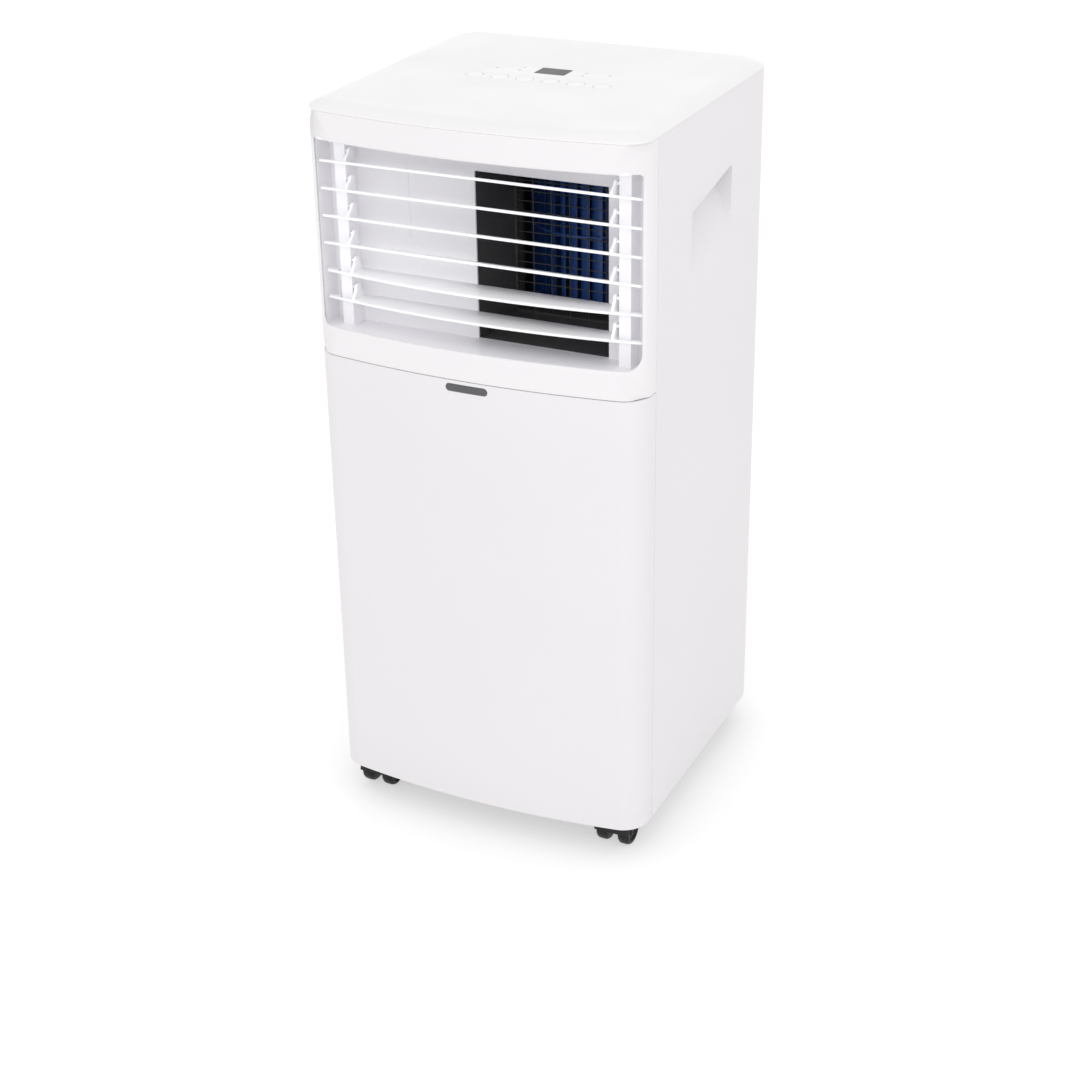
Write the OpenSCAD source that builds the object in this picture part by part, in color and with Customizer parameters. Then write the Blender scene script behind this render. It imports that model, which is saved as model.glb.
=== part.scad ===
// Portable air conditioner on four twin-wheel casters.
// Millimetres, +Z up, front towards -Y, origin on the floor under the middle of the housing.

/* [Housing] */
// Width over the side panels
body_w = 324; // [322:1:328]
// Depth from the middle of the bowed front to the back
body_d = 325; // [325:1:330]
// How far the front bows out at its middle
front_bow = 15; // [13:0.5:16]
// Wall thickness of the moulded shells
wall = 2.5; // [2:0.1:2.6]

/* [Louvres] */
// Rest tilt of the upper four blades, front edge raised
upper_tilt = 18.5; // [10:0.5:20]
// Rest tilt of the lower two blades
lower_tilt = 1.5; // [0:0.5:12]
// Thickness of a louvre blade
blade_t = 2.6; // [1.8:0.1:2.8]

/* [Blower] */
// Number of blades on the blower wheel
wheel_blades = 34; // [24:2:40]
// Radius of the blower wheel
wheel_r = 64; // [60:1:66]

/* [Coils] */
// Distance from one coil fin to the next
fin_pitch = 8; // [6:1:12]

/* [Casters] */
// Radius of a caster wheel
caster_r = 15; // [14:0.5:15]

/* [Hidden] */
$fn = 64;
fine = 720;
eps = 0.01;

// Outline of the housing seen from above
front_corner_r = 27;
rear_corner_r = 34;
half_w = body_w/2;
front_y = -body_d/2;
rear_y = body_d/2;
bow_r = (half_w*half_w + front_bow*front_bow)/(2*front_bow);
bow_y = front_y + bow_r;
corner_x = half_w - front_corner_r;
corner_y = bow_y - sqrt(pow(bow_r - front_corner_r, 2) - corner_x*corner_x);
corner_ux = corner_x/(bow_r - front_corner_r);
corner_uy = (corner_y - bow_y)/(bow_r - front_corner_r);
side_x = half_w - rear_corner_r;
seam_y = -118;
seam_gap = 0.25;

// Heights
skirt_z = 30;
panel_top_z = 468.5;
frame_z = 469.2;
lid_z = 693;
top_z = 700;
lid_plate_z = 697.5;

// Lid shoulder: falls 6 over 21
shoulder_in = 21;
shoulder_drop = 6;
shoulder_r = (shoulder_in*shoulder_in + shoulder_drop*shoulder_drop)/(2*shoulder_drop);
rim_z = top_z - shoulder_drop;

// Outlet
open_half = 158.5;
open_z0 = 496;
open_z1 = 667;
open_r_low = 12;
open_r_high = 4;
back_y = -108;
throat_x0 = -14;
throat_x1 = 113;
throat_z0 = 489;
throat_z1 = 643;
liner_t = 2;

// Louvres, each hung from a pin that stands above the blade
pivot_y = -125;
pivot_z1 = 652.8;
pivot_pitch = 25.1;
pivot_rise = 11;
pin_r = 1.6;
pin_hole_r = 1.9;
blade_arc_r = 822;
blade_front = 20.2;
blade_back = 12;
blade_half = 155;
blade_mid = 129.3;
notch_back = 5.2;
tab_in = 143.6;
tab_back = 2;
lug_x = 125.6;
lug_t = 3;

// Post at each end of the outlet that the blades hang on
post_x0 = 131;
post_x1 = 142;
post_front = -127.8;
post_t = 2;

// Blower
wheel_x = 37;
wheel_y = 44;
scroll_r = 76;
scroll_t = 2;
wheel_z0 = 494;
wheel_z1 = 634;
grid_y = -30;

// Controls
key_y = -8;
key_r = 8;
key_pitch = 25;
key_x0 = -62.5;
display_y = 26;
lamp_spots = [[-54, 21], [-31, 20.5], [-31, 30.5], [31, 20.5], [31, 30.5], [54, 30]];

// Back
filter_half = 120.5;
filter_z0 = 487.5;
filter_z1 = 650.5;
grille_half = 118;
grille_z0 = 72;
grille_z1 = 292;
exhaust_z = 392;
collar_r = 70;
duct_r = 68.5;
collar_t = 3;
fan_blades = 7;
fan_hub_r = 20;
fan_hub_t = 26;
fan_pitch = 50;
fan_blade_t = 2;
fan_blade_w = 30;
guard_y = 131.5;
guard_t = 2.5;
guard_bar = 1.8;
guard_hub_r = 14;
guard_rings = [27.5, 41, 54.5];
guard_spokes = 6;
gland_x = 104;
gland_z = 330;
drain_x = -100;
upper_drain_z = 472;
deck_z = 465.6;
lower_drain_z = 57;
screw_x = 124.5;
screw_zs = [60, 270, 480, 670];

// Base and casters
pan_z = 46;
pan_t = 4;
stem_x = 129;
front_stem_y = -116;
rear_stem_y = 118;
trail = 8;
stem_r = 4;
socket_r = 4.3;
caster_half = 17;
caster_leg = 4.5;
neck_half = 6;

// Grip recess in each side panel
grip_y = 9.5;
grip_z = 587.5;
grip_half_y = 48;
grip_half_h = 27;
grip_slope = 10.7;
grip_depth = 22;

// Compressor
comp_x = -55;
comp_y = -35;
comp_r = 55;
acc_x = 23;
acc_r = 20;
foot_r = 66;
pipe_r = 3;

// Housing outline, drawn in by i all round
module plan(i) {
  intersection() {
    translate([0, bow_y]) circle(r = bow_r - i, $fn = fine);
    polygon([[-corner_x, corner_y], [corner_x, corner_y],
      [corner_x + 70*corner_ux, corner_y + 70*corner_uy],
      [-corner_x - 70*corner_ux, corner_y + 70*corner_uy]]);
  }
  for (s = [-1, 1]) {
    translate([s*corner_x, corner_y]) circle(r = front_corner_r - i);
    translate([s*side_x, rear_y - rear_corner_r]) circle(r = rear_corner_r - i);
  }
  translate([-half_w + i, corner_y])
    square([body_w - 2*i, rear_y - rear_corner_r - corner_y]);
  translate([-side_x, rear_y - rear_corner_r - 1]) square([2*side_x, rear_corner_r + 1 - i]);
}

// Closed band following the outline between two insets
module ring(z0, z1, i0, i1) {
  translate([0, 0, z0]) linear_extrude(z1 - z0) difference() {
    plan(i0);
    plan(i1);
  }
}

// Everything in front of the joint between front and side panels
module front_region() {
  translate([-200, -250, 0]) cube([400, 250 + seam_y - seam_gap, 800]);
}

// A profile drawn in Y and Z, run along X from x0 for a length
module along_x(x0, length) {
  translate([x0, 0, 0]) rotate([90, 0, 90]) linear_extrude(length) children();
}

// A profile drawn in X and Z, run backwards from y0 for a length
module along_y(y0, length) {
  translate([0, y0 + length, 0]) rotate([90, 0, 0]) linear_extrude(length) children();
}

// Round bar along X
module rod_x(x0, x1, y, z, r) {
  translate([x0, y, z]) rotate([0, 90, 0]) cylinder(r = r, h = x1 - x0);
}

// Round bar along Y
module rod_y(y0, y1, x, z, r) {
  translate([x, y1, z]) rotate([90, 0, 0]) cylinder(r = r, h = y1 - y0);
}

// One side of the lid's section: flat top, curved shoulder, short upright rim
module shoulder(edge) {
  square([edge - shoulder_in, top_z]);
  square([edge, rim_z]);
  intersection() {
    translate([edge - shoulder_in, top_z - shoulder_r]) circle(r = shoulder_r, $fn = fine);
    translate([edge - shoulder_in - 1, rim_z - 1]) square([shoulder_in + 1, shoulder_drop + 1]);
  }
}

// Wedge of the outline that one rounded corner takes up
module corner_wedge(front) {
  if (front)
    polygon([[corner_x, corner_y], [corner_x + 60, corner_y], [corner_x + 60, corner_y - 60],
      [corner_x + 60*corner_ux, corner_y + 60*corner_uy]]);
  else
    square_at(side_x, rear_y - rear_corner_r, 60, 60);
}

module lid_corner(front) {
  r = front ? front_corner_r : rear_corner_r;
  intersection() {
    translate([0, 0, lid_z]) linear_extrude(top_z - lid_z) corner_wedge(front);
    translate([front ? corner_x : side_x, front ? corner_y : rear_y - r, 0])
      rotate_extrude($fn = 96) shoulder(r);
  }
}

module lid_form() {
  difference() {
    intersection() {
      translate([0, 0, lid_z]) linear_extrude(top_z - lid_z) plan(0);
      translate([0, bow_y, 0]) rotate_extrude($fn = fine) shoulder(bow_r);
      along_y(-200, 400) {
        shoulder(half_w);
        mirror([1, 0]) shoulder(half_w);
      }
      along_x(-200, 400) union() {
        square_at(-250, 0, 250 + eps, top_z);
        shoulder(rear_y);
      }
    }
    for (s = [0, 1]) mirror([s, 0, 0]) for (front = [true, false])
      translate([0, 0, lid_z - 1]) linear_extrude(10) corner_wedge(front);
  }
  for (s = [0, 1]) mirror([s, 0, 0]) for (front = [true, false]) lid_corner(front);
}

module display_cut() {
  translate([-15, display_y - 11, top_z - 1.6]) cube([30, 22, 2]);
  translate([-13.5, display_y - 9.5, lid_z - 5]) cube([27, 19, 10]);
}

module top_cover() {
  color("WhiteSmoke") difference() {
    union() {
      lid_form();
      ring(lid_z - 7, lid_z, wall + 0.4, wall + 2.4);
    }
    translate([0, 0, lid_z - eps]) linear_extrude(lid_plate_z - lid_z + eps) plan(23);
    display_cut();
    for (k = [0:5])
      translate([key_x0 + k*key_pitch, key_y, lid_z - 1]) cylinder(r = key_r + 0.35, h = 10);
    for (p = lamp_spots) translate([p[0], p[1], lid_z - 1]) cylinder(r = 1.5, h = 10);
  }
}

module display_window() {
  color("DimGray") translate([-15, display_y - 11, top_z - 1.6]) cube([30, 22, 1.6]);
}

module indicator_lenses() {
  color("Gray") for (p = lamp_spots)
    translate([p[0], p[1], lid_plate_z]) cylinder(r = 1.5, h = top_z - lid_plate_z, $fn = 24);
}

module key(k) {
  color("White") translate([key_x0 + k*key_pitch, key_y, 0]) {
    translate([0, 0, 697]) cylinder(r = key_r, h = top_z - 697);
    translate([0, 0, 695.7]) cylinder(r = key_r + 1.4, h = 1.4);
    translate([0, 0, 690]) cylinder(r = 1.8, h = 6);
  }
}

module key_power() { key(0); }
module key_mode() { key(1); }
module key_speed() { key(2); }
module key_timer() { key(3); }
module key_down() { key(4); }
module key_up() { key(5); }

module control_tray() {
  color("LightGray") {
    difference() {
      translate([-78, -26, 684]) cube([156, 74, lid_plate_z - 684]);
      translate([-76.5, -24.5, 685.5]) cube([153, 71, 20]);
    }
    for (x = [-66, 66]) for (y = [-18, 40])
      translate([x, y, 685]) cylinder(r = 3, h = 1.5, $fn = 24);
  }
}

module control_board() {
  color("DarkGreen") {
    translate([-70, -22, 686.5]) cube([140, 66, 1.5]);
    for (k = [0:5]) translate([key_x0 + k*key_pitch - 3, key_y - 3, 687.9]) cube([6, 6, 1.3]);
    translate([-13, display_y - 9, 687.9]) cube([26, 18, 10]);
    for (p = lamp_spots) translate([p[0], p[1], 687.9]) cylinder(r = 1.2, h = 9, $fn = 24);
    translate([-40, 20, 687.9]) cube([5, 18, 4]);
    translate([40, 8, 687.9]) cube([12, 9, 3]);
  }
}

// The outlet window, drawn in X and Z
module outlet_window() {
  translate([-open_half, open_z0 + open_r_low])
    square([2*open_half, open_z1 - open_z0 - open_r_low - open_r_high]);
  translate([-open_half + open_r_low, open_z0])
    square([2*(open_half - open_r_low), open_r_low + 1]);
  translate([-open_half + open_r_high, open_z1 - open_r_high - 1])
    square([2*(open_half - open_r_high), open_r_high + 1]);
  for (s = [-1, 1]) {
    translate([s*(open_half - open_r_low), open_z0 + open_r_low]) circle(r = open_r_low);
    translate([s*(open_half - open_r_high), open_z1 - open_r_high]) circle(r = open_r_high);
  }
}

module outlet_frame() {
  color("WhiteSmoke") intersection() {
    union() {
      difference() {
        ring(frame_z, lid_z - 0.3, 0, wall);
        along_y(-180, 60.5) outlet_window();
      }
      ring(frame_z, frame_z + 2, wall - eps, 8);
    }
    front_region();
  }
}

module outlet_liner() {
  side_in = half_w - wall - 1.6;
  color("White") difference() {
    intersection() {
      union() {
        along_x(-160, 320) polygon([[-175, 496.6], [back_y, 489], [back_y, 487], [-175, 494.6]]);
        along_x(-160, 320) square_at(-175, 667, 69, 2);
        translate([-160, back_y, 487]) cube([320, liner_t, 182]);
        for (s = [0, 1]) mirror([s, 0, 0]) {
          translate([side_in, -131, 487]) cube([5, 25, 182]);
          translate([post_x0, post_front, 490]) cube([post_x1 - post_x0, 21, 178]);
        }
      }
      translate([0, 0, 480]) linear_extrude(200) plan(wall + 0.1);
    }
    translate([throat_x0, back_y - 1, throat_z0])
      cube([throat_x1 - throat_x0, liner_t + 2, throat_z1 - throat_z0]);
    for (s = [0, 1]) mirror([s, 0, 0])
      translate([post_x0 + post_t, post_front + post_t, 498])
        cube([post_x1 - post_x0 - 2*post_t, 30, 167]);
    for (k = [0:5]) rod_x(-post_x0 - 5, post_x0 + 5, pivot_y, pivot_z1 - k*pivot_pitch, pin_hole_r);
    translate([-79.3, back_y - 1, 575]) cube([0.6, 1.5, 68]);
  }
}

module square_at(x, y, w, h) {
  translate([x, y]) square([w, h]);
}

// Lug that carries the pin, drawn in Y and Z from the pin, with the blade level
module lug_form() {
  circle(r = 3.6);
  polygon([[-3.4, 1.2], [-6, 1 - pivot_rise], [11, 1 - pivot_rise], [10, -7], [3.2, 1.7]]);
}

module louvre(k) {
  tilt = k < 4 ? upper_tilt : lower_tilt;
  color("White") translate([0, pivot_y, pivot_z1 - k*pivot_pitch]) rotate([-tilt, 0, 0]) {
    translate([0, 0, -pivot_rise - blade_t/2]) linear_extrude(blade_t) intersection() {
      translate([0, blade_arc_r - blade_front]) circle(r = blade_arc_r, $fn = fine);
      difference() {
        square_at(-blade_half, -60, 2*blade_half, 60 + blade_back);
        for (s = [0, 1]) mirror([s, 0]) {
          square_at(blade_mid, -notch_back, tab_in - blade_mid, 30);
          square_at(tab_in - 1, tab_back, 20, 30);
        }
      }
    }
    for (s = [0, 1]) mirror([s, 0, 0]) {
      along_x(lug_x, lug_t) lug_form();
      rod_x(lug_x + 1, post_x0 + 3, 0, 0, pin_r);
    }
  }
}

module louvre_blade_1() { louvre(0); }
module louvre_blade_2() { louvre(1); }
module louvre_blade_3() { louvre(2); }
module louvre_blade_4() { louvre(3); }
module louvre_blade_5() { louvre(4); }
module louvre_blade_6() { louvre(5); }

// Inside of the blower scroll, drawn from above, grown by g
module scroll_form(g) {
  translate([wheel_x, wheel_y]) circle(r = scroll_r + g);
  translate([throat_x0 - g, back_y + liner_t])
    square([throat_x1 - throat_x0 + 2*g, wheel_y - back_y - liner_t]);
}

module blower_scroll() {
  z0 = throat_z0 - scroll_t;
  z1 = throat_z1 + scroll_t;
  color([0.12, 0.12, 0.13]) {
    translate([0, 0, z0]) linear_extrude(z1 - z0) difference() {
      scroll_form(scroll_t);
      scroll_form(0);
    }
    translate([0, 0, z0]) linear_extrude(scroll_t) difference() {
      scroll_form(scroll_t);
      translate([wheel_x, wheel_y]) circle(r = wheel_r - 13);
    }
    translate([0, 0, throat_z1]) linear_extrude(scroll_t) difference() {
      scroll_form(scroll_t);
      translate([wheel_x, wheel_y]) circle(r = 12);
    }
  }
}

module guard_grid() {
  w = throat_x1 - throat_x0;
  h = throat_z1 - throat_z0;
  color([0.1, 0.1, 0.1]) {
    difference() {
      translate([throat_x0 + 0.1, grid_y - 1, throat_z0 + 0.1]) cube([w - 0.2, 3, h - 0.2]);
      translate([throat_x0 + 2, grid_y - 2, throat_z0 + 2]) cube([w - 4, 6, h - 4]);
    }
    for (k = [1:5])
      translate([throat_x0 + k*w/6 - 0.6, grid_y - 0.6, throat_z0 + 1]) cube([1.2, 1.2, h - 2]);
    for (k = [1:14])
      translate([throat_x0 + 1, grid_y + 0.4, throat_z0 + k*h/15 - 0.6]) cube([w - 2, 1.2, 1.2]);
  }
}

module blower_wheel() {
  color([0.1, 0.25, 0.6]) translate([wheel_x, wheel_y, 0]) {
    translate([0, 0, wheel_z0]) linear_extrude(2.5) difference() {
      circle(r = wheel_r);
      circle(r = wheel_r - 14);
    }
    for (k = [0:wheel_blades - 1]) rotate(k*360/wheel_blades)
      translate([wheel_r - 7.2, 0, wheel_z0 + 2]) rotate(32)
        translate([-6.2, -0.7, 0]) cube([12.4, 1.4, wheel_z1 - wheel_z0 - 4]);
    difference() {
      union() {
        translate([0, 0, wheel_z1 - 2.5]) cylinder(r = wheel_r, h = 2.5);
        translate([0, 0, wheel_z1 - 22]) cylinder(r = 10, h = 25);
      }
      translate([0, 0, wheel_z1 - 30]) cylinder(r = 4, h = 50);
    }
  }
}

module blower_shaft() {
  color("Silver") translate([wheel_x, wheel_y, wheel_z1 - 26]) cylinder(r = 4, h = 70);
}

module blower_motor() {
  color([0.3, 0.3, 0.32]) translate([wheel_x, wheel_y, throat_z1 + scroll_t]) difference() {
    union() {
      cylinder(r = 46, h = 2);
      cylinder(r = 36, h = 26);
      cylinder(r = 16, h = 31);
    }
    translate([0, 0, -1]) cylinder(r = 4.4, h = 40);
    for (a = [45:90:315]) rotate(a) translate([41, 0, -1]) cylinder(r = 2.2, h = 5);
  }
}

module front_panel() {
  color("WhiteSmoke") difference() {
    intersection() {
      union() {
        ring(skirt_z, panel_top_z, 0, wall);
        ring(skirt_z, skirt_z + 2, wall - eps, 4.5);
        ring(panel_top_z - 2, panel_top_z, wall - eps, 8);
      }
      front_region();
    }
    badge_form(0);
  }
}

// Shallow seat of the plain badge
module badge_form(g) {
  intersection() {
    translate([0, 0, 458]) linear_extrude(7.5) difference() {
      plan(-1);
      plan(0.6);
    }
    along_y(-180, 40) union() {
      translate([-17, 458]) square([34, 7.5]);
      for (s = [-1, 1]) translate([s*17, 461.75]) circle(r = 3.75);
    }
  }
}

module badge() {
  color("DimGray") intersection() {
    badge_form(0);
    translate([0, 0, 450]) linear_extrude(20) plan(0);
  }
}

// Slanted outline of the grip recess in Y and Z, grown by g
module grip_outline(g) {
  rise = grip_half_y*tan(grip_slope);
  h = grip_half_h/cos(grip_slope);
  polygon([[-grip_half_y - g, -rise - h - g], [grip_half_y + g, rise - h - g],
    [grip_half_y + g, rise + h + g], [-grip_half_y - g, -rise + h + g]]);
}

// Hollow of the recess: deep under its top edge, running out at the bottom
module grip_hollow() {
  intersection() {
    translate([0, grip_y, grip_z]) along_x(half_w - grip_depth, grip_depth + 5)
      grip_outline(0);
    translate([0, grip_y, grip_z]) rotate([grip_slope, 0, 0]) along_y(-80, 160)
      polygon([[half_w + 4, -grip_half_h - 4.7], [half_w + 4, grip_half_h + 4],
        [half_w - grip_depth, grip_half_h + 4], [half_w - grip_depth, grip_half_h - 7],
        [half_w + 0.1, -grip_half_h + 0.4]]);
  }
}

module grip_cup() {
  x0 = half_w - grip_depth - 2;
  intersection() {
    translate([0, grip_y, grip_z]) along_x(x0, grip_depth + 1) grip_outline(2);
    translate([0, grip_y, grip_z]) rotate([grip_slope, 0, 0]) along_y(-80, 160)
      polygon([[half_w - 1, -grip_half_h - 3], [half_w - 1, grip_half_h + 4],
        [x0, grip_half_h + 4], [x0, grip_half_h - 8], [half_w - 2.4, -grip_half_h - 3]]);
  }
}

module side_panel() {
  color("WhiteSmoke") difference() {
    union() {
      intersection() {
        union() {
          ring(skirt_z, lid_z - 0.3, 0, wall);
          ring(skirt_z, skirt_z + 2, wall - eps, 4.5);
        }
        translate([side_x + 0.2, seam_y + seam_gap, 0]) cube([200, 400, 800]);
      }
      translate([side_x - 6, rear_y - 5, skirt_z + 3]) cube([10, 2.3, lid_z - skirt_z - 16]);
      translate([side_x + 0.8, rear_y - 5, skirt_z + 3]) cube([3.2, 3.5, lid_z - skirt_z - 16]);
      grip_cup();
    }
    grip_hollow();
    for (z = screw_zs) rod_y(rear_y - 6, rear_y - 1, screw_x, z, 1.6);
  }
}

module side_panel_right() { side_panel(); }
module side_panel_left() { mirror([1, 0, 0]) side_panel(); }

module rear_panel() {
  t = wall;
  color("WhiteSmoke") difference() {
    translate([-side_x, rear_y - t, skirt_z + 0.5]) cube([2*side_x, t, lid_z - skirt_z - 0.8]);
    translate([-filter_half, rear_y - 10, filter_z0])
      cube([2*filter_half, 20, filter_z1 - filter_z0]);
    translate([-grille_half, rear_y - 10, grille_z0])
      cube([2*grille_half, 20, grille_z1 - grille_z0]);
    rod_y(rear_y - 10, rear_y + 5, 0, exhaust_z, collar_r + collar_t);
    rod_y(rear_y - 10, rear_y + 5, gland_x, gland_z, 8);
    rod_y(rear_y - 10, rear_y + 5, drain_x, upper_drain_z, 8);
    rod_y(rear_y - 10, rear_y + 5, drain_x, lower_drain_z, 8);
    for (s = [-1, 1]) for (z = screw_zs) {
      rod_y(rear_y - 10, rear_y + 5, s*screw_x, z, 1.9);
      rod_y(rear_y - 1.6, rear_y + 5, s*screw_x, z, 3.6);
    }
  }
}

module rear_screws() {
  color("Silver") for (s = [-1, 1]) for (z = screw_zs) {
    rod_y(rear_y - 8, rear_y - 1.5, s*screw_x, z, 1.5);
    difference() {
      rod_y(rear_y - 1.6, rear_y - 0.2, s*screw_x, z, 3.4);
      translate([s*screw_x - 2.2, rear_y - 0.9, z - 0.4]) cube([4.4, 1, 0.8]);
      translate([s*screw_x - 0.4, rear_y - 0.9, z - 2.2]) cube([0.8, 1, 4.4]);
    }
  }
}

// Framed cover with level slats
module slatted(half, z0, z1, y0, depth, border, count) {
  span = z1 - z0 - 2*border;
  difference() {
    translate([-half, y0, z0]) cube([2*half, depth, z1 - z0]);
    translate([-half + border, y0 - 1, z0 + border]) cube([2*half - 2*border, depth + 2, span]);
  }
  for (k = [1:count]) translate([-half + 1, y0 + 0.5, z0 + border + k*span/(count + 1) - 1.4])
    cube([2*half - 2, depth - 1, 2.8]);
  for (x = [-half/3, half/3]) translate([x - 1.5, y0 + 1.5, z0 + 1])
    cube([3, depth - 3, z1 - z0 - 2]);
}

module filter_cover() {
  color("WhiteSmoke") difference() {
    slatted(filter_half - 0.5, filter_z0 + 0.5, filter_z1 - 0.5, rear_y - 6.5, 6.5, 8, 20);
    translate([-18, rear_y - 3, filter_z1 - 7]) cube([36, 4, 5]);
  }
}

module filter_mesh() {
  color([0.75, 0.78, 0.8]) {
    difference() {
      translate([-114, rear_y - 9, 494]) cube([228, 2.4, 150]);
      translate([-110, rear_y - 10, 498]) cube([220, 5, 142]);
    }
    translate([-112, rear_y - 8, 496]) cube([224, 0.5, 146]);
    for (x = [-55, 0, 55]) translate([x - 1, rear_y - 8.8, 496]) cube([2, 2, 146]);
    for (z = [533, 569, 605]) translate([-112, rear_y - 8.8, z - 1]) cube([224, 2, 2]);
  }
}

module condenser_grille() {
  color("WhiteSmoke") slatted(grille_half - 0.1, grille_z0 + 0.1, grille_z1 - 0.1,
    rear_y - 5.5, 5.5, 8, 26);
}

module exhaust_collar() {
  color("LightGray") difference() {
    union() {
      rod_y(rear_y - 64, rear_y, 0, exhaust_z, collar_r + collar_t - 0.1);
      rod_y(rear_y - 5.5, rear_y - wall - 0.1, 0, exhaust_z, collar_r + 11);
    }
    rod_y(rear_y - 24.5, rear_y + 1, 0, exhaust_z, collar_r);
    rod_y(rear_y - 70, rear_y - 20, 0, exhaust_z, duct_r);
  }
}

module exhaust_fan() {
  y0 = rear_y - 60;
  color([0.15, 0.15, 0.16]) {
    rod_y(y0, y0 + fan_hub_t, 0, exhaust_z, fan_hub_r);
    rod_y(y0 - 30, y0 + 1, 0, exhaust_z, 3);
    intersection() {
      rod_y(y0 - 5, y0 + 31, 0, exhaust_z, duct_r - 2);
      translate([0, y0 + fan_hub_t/2, exhaust_z])
        for (k = [0:fan_blades - 1]) rotate([0, k*360/fan_blades, 0]) fan_blade();
    }
  }
}

// Flat pitched blade reaching outwards along X
module fan_blade() {
  translate([fan_hub_r - 5, 0, 0]) rotate([fan_pitch, 0, 0])
    translate([0, -fan_blade_t/2, -fan_blade_w/2]) cube([duct_r, fan_blade_t, fan_blade_w]);
}

// Safety grid pressed into the duct behind the hose seat
module exhaust_guard() {
  color([0.12, 0.12, 0.13]) {
    difference() {
      rod_y(guard_y, guard_y + guard_t, 0, exhaust_z, duct_r);
      rod_y(guard_y - 1, guard_y + guard_t + 1, 0, exhaust_z, duct_r - 2.4);
    }
    for (r = guard_rings) difference() {
      rod_y(guard_y, guard_y + guard_t, 0, exhaust_z, r + guard_bar/2);
      rod_y(guard_y - 1, guard_y + guard_t + 1, 0, exhaust_z, r - guard_bar/2);
    }
    rod_y(guard_y + 0.2, guard_y + guard_t - 0.2, 0, exhaust_z, guard_hub_r);
    for (k = [0:guard_spokes - 1]) translate([0, guard_y + 0.4, exhaust_z])
      rotate([0, k*360/guard_spokes, 0])
        translate([guard_hub_r - 2, 0, -guard_bar/2])
          cube([duct_r - guard_hub_r + 1, guard_t - 0.8, guard_bar]);
  }
}

module exhaust_motor() {
  y0 = rear_y - 64;
  color([0.35, 0.35, 0.37]) difference() {
    union() {
      rod_y(y0 - 38, y0, 0, exhaust_z, 27);
      for (a = [30:120:270]) translate([0, y0 - 6, exhaust_z]) rotate([0, a, 0])
        translate([20, 0, -4]) cube([duct_r + 2 - 20, 5.8, 8]);
    }
    rod_y(y0 - 30, y0 + 1, 0, exhaust_z, 3.4);
  }
}

module cord_gland() {
  color([0.12, 0.12, 0.12]) difference() {
    union() {
      rod_y(rear_y - 7, rear_y, gland_x, gland_z, 7.9);
      rod_y(rear_y - 7, rear_y - wall - 0.1, gland_x, gland_z, 11);
    }
    rod_y(rear_y - 8, rear_y + 1, gland_x, gland_z, 4);
  }
}

module drain_plug(z) {
  color([0.15, 0.15, 0.15]) {
    rod_y(rear_y - 9, rear_y - 2, drain_x, z, 4.6);
    difference() {
      rod_y(rear_y - 2.1, rear_y, drain_x, z, 7.6);
      translate([drain_x - 5, rear_y - 1, z + 2]) cube([10, 2, 2.5]);
      translate([drain_x - 5, rear_y - 1, z - 4.5]) cube([10, 2, 2.5]);
    }
  }
}

module drain_plug_upper() { drain_plug(upper_drain_z); }
module drain_plug_lower() { drain_plug(lower_drain_z); }

// Spout that a drain plug closes
module spout(y0, z) {
  rod_y(y0, rear_y - wall - 0.2, drain_x, z, 7);
}

module base_pan() {
  color([0.2, 0.2, 0.21]) difference() {
    union() {
      translate([0, 0, pan_z]) linear_extrude(pan_t) plan(wall + 0.5);
      ring(pan_z + pan_t - eps, pan_z + pan_t + 14, wall + 0.5, wall + 3);
      difference() {
        ring(skirt_z + 3, pan_z + eps, wall + 0.5, wall + 3);
        for (x = [-stem_x, stem_x]) for (y = [front_stem_y, rear_stem_y])
          translate([x, y, 0]) cylinder(r = 38, h = 100);
      }
      for (x = [-stem_x, stem_x]) for (y = [front_stem_y, rear_stem_y])
        translate([x, y, pan_z + 1]) cylinder(r = 10, h = 19);
      spout(rear_y - 14, lower_drain_z);
    }
    for (x = [-stem_x, stem_x]) for (y = [front_stem_y, rear_stem_y])
      translate([x, y, pan_z - 1]) cylinder(r = socket_r, h = 17.5);
    rod_y(rear_y - 20, rear_y, drain_x, lower_drain_z, 5);
    for (m = [0, 1]) mirror([m, 0, 0])
      translate([side_x - 6.5, rear_y - 8.5, skirt_z]) cube([12, 10, 40]);
  }
}

module drip_deck() {
  color("LightGray") difference() {
    union() {
      translate([0, 0, deck_z]) linear_extrude(3) plan(12);
      difference() {
        translate([-136, 121, deck_z + 2]) cube([272, 28, 15.6]);
        translate([-134, 123, deck_z + 3]) cube([268, 24, 20]);
      }
      for (x = [throat_x0 + 6, throat_x1 - 6]) for (y = [-90, 10])
        translate([x, y, deck_z + 2]) cylinder(r = 5, h = throat_z0 - scroll_t - deck_z - 2);
      spout(146, upper_drain_z);
    }
    rod_y(rear_y - 22, rear_y, drain_x, upper_drain_z, 5);
  }
}

// Stack of upright fins with holes for two rows of tubes
module fins(x0, x1, y0, y1, z0, z1, rows, levels, level_z) {
  for (x = [x0:fin_pitch:x1]) along_x(x, 1) difference() {
    translate([y0, z0]) square([y1 - y0, z1 - z0]);
    for (y = rows) for (k = [0:levels - 1]) translate([y, level_z + 25*k])
      circle(r = 4.1, $fn = 24);
  }
}

// Serpentine: level tubes joined by return bends at both ends
module serpentine(x0, x1, y, levels, level_z) {
  for (k = [0:levels - 1]) rod_x(x0, x1, y, level_z + 25*k, 4);
  for (k = [0:2:levels - 2]) translate([x1, y, level_z + 25*k + 12.5]) bend(-90);
  for (k = [1:2:levels - 2]) translate([x0, y, level_z + 25*k + 12.5]) bend(90);
}

// Half-ring of tube in the upright plane
module bend(a) {
  rotate([90, 0, 0]) rotate([0, 0, a]) rotate_extrude(angle = 180) translate([12.5, 0])
    circle(r = 4);
}

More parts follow.
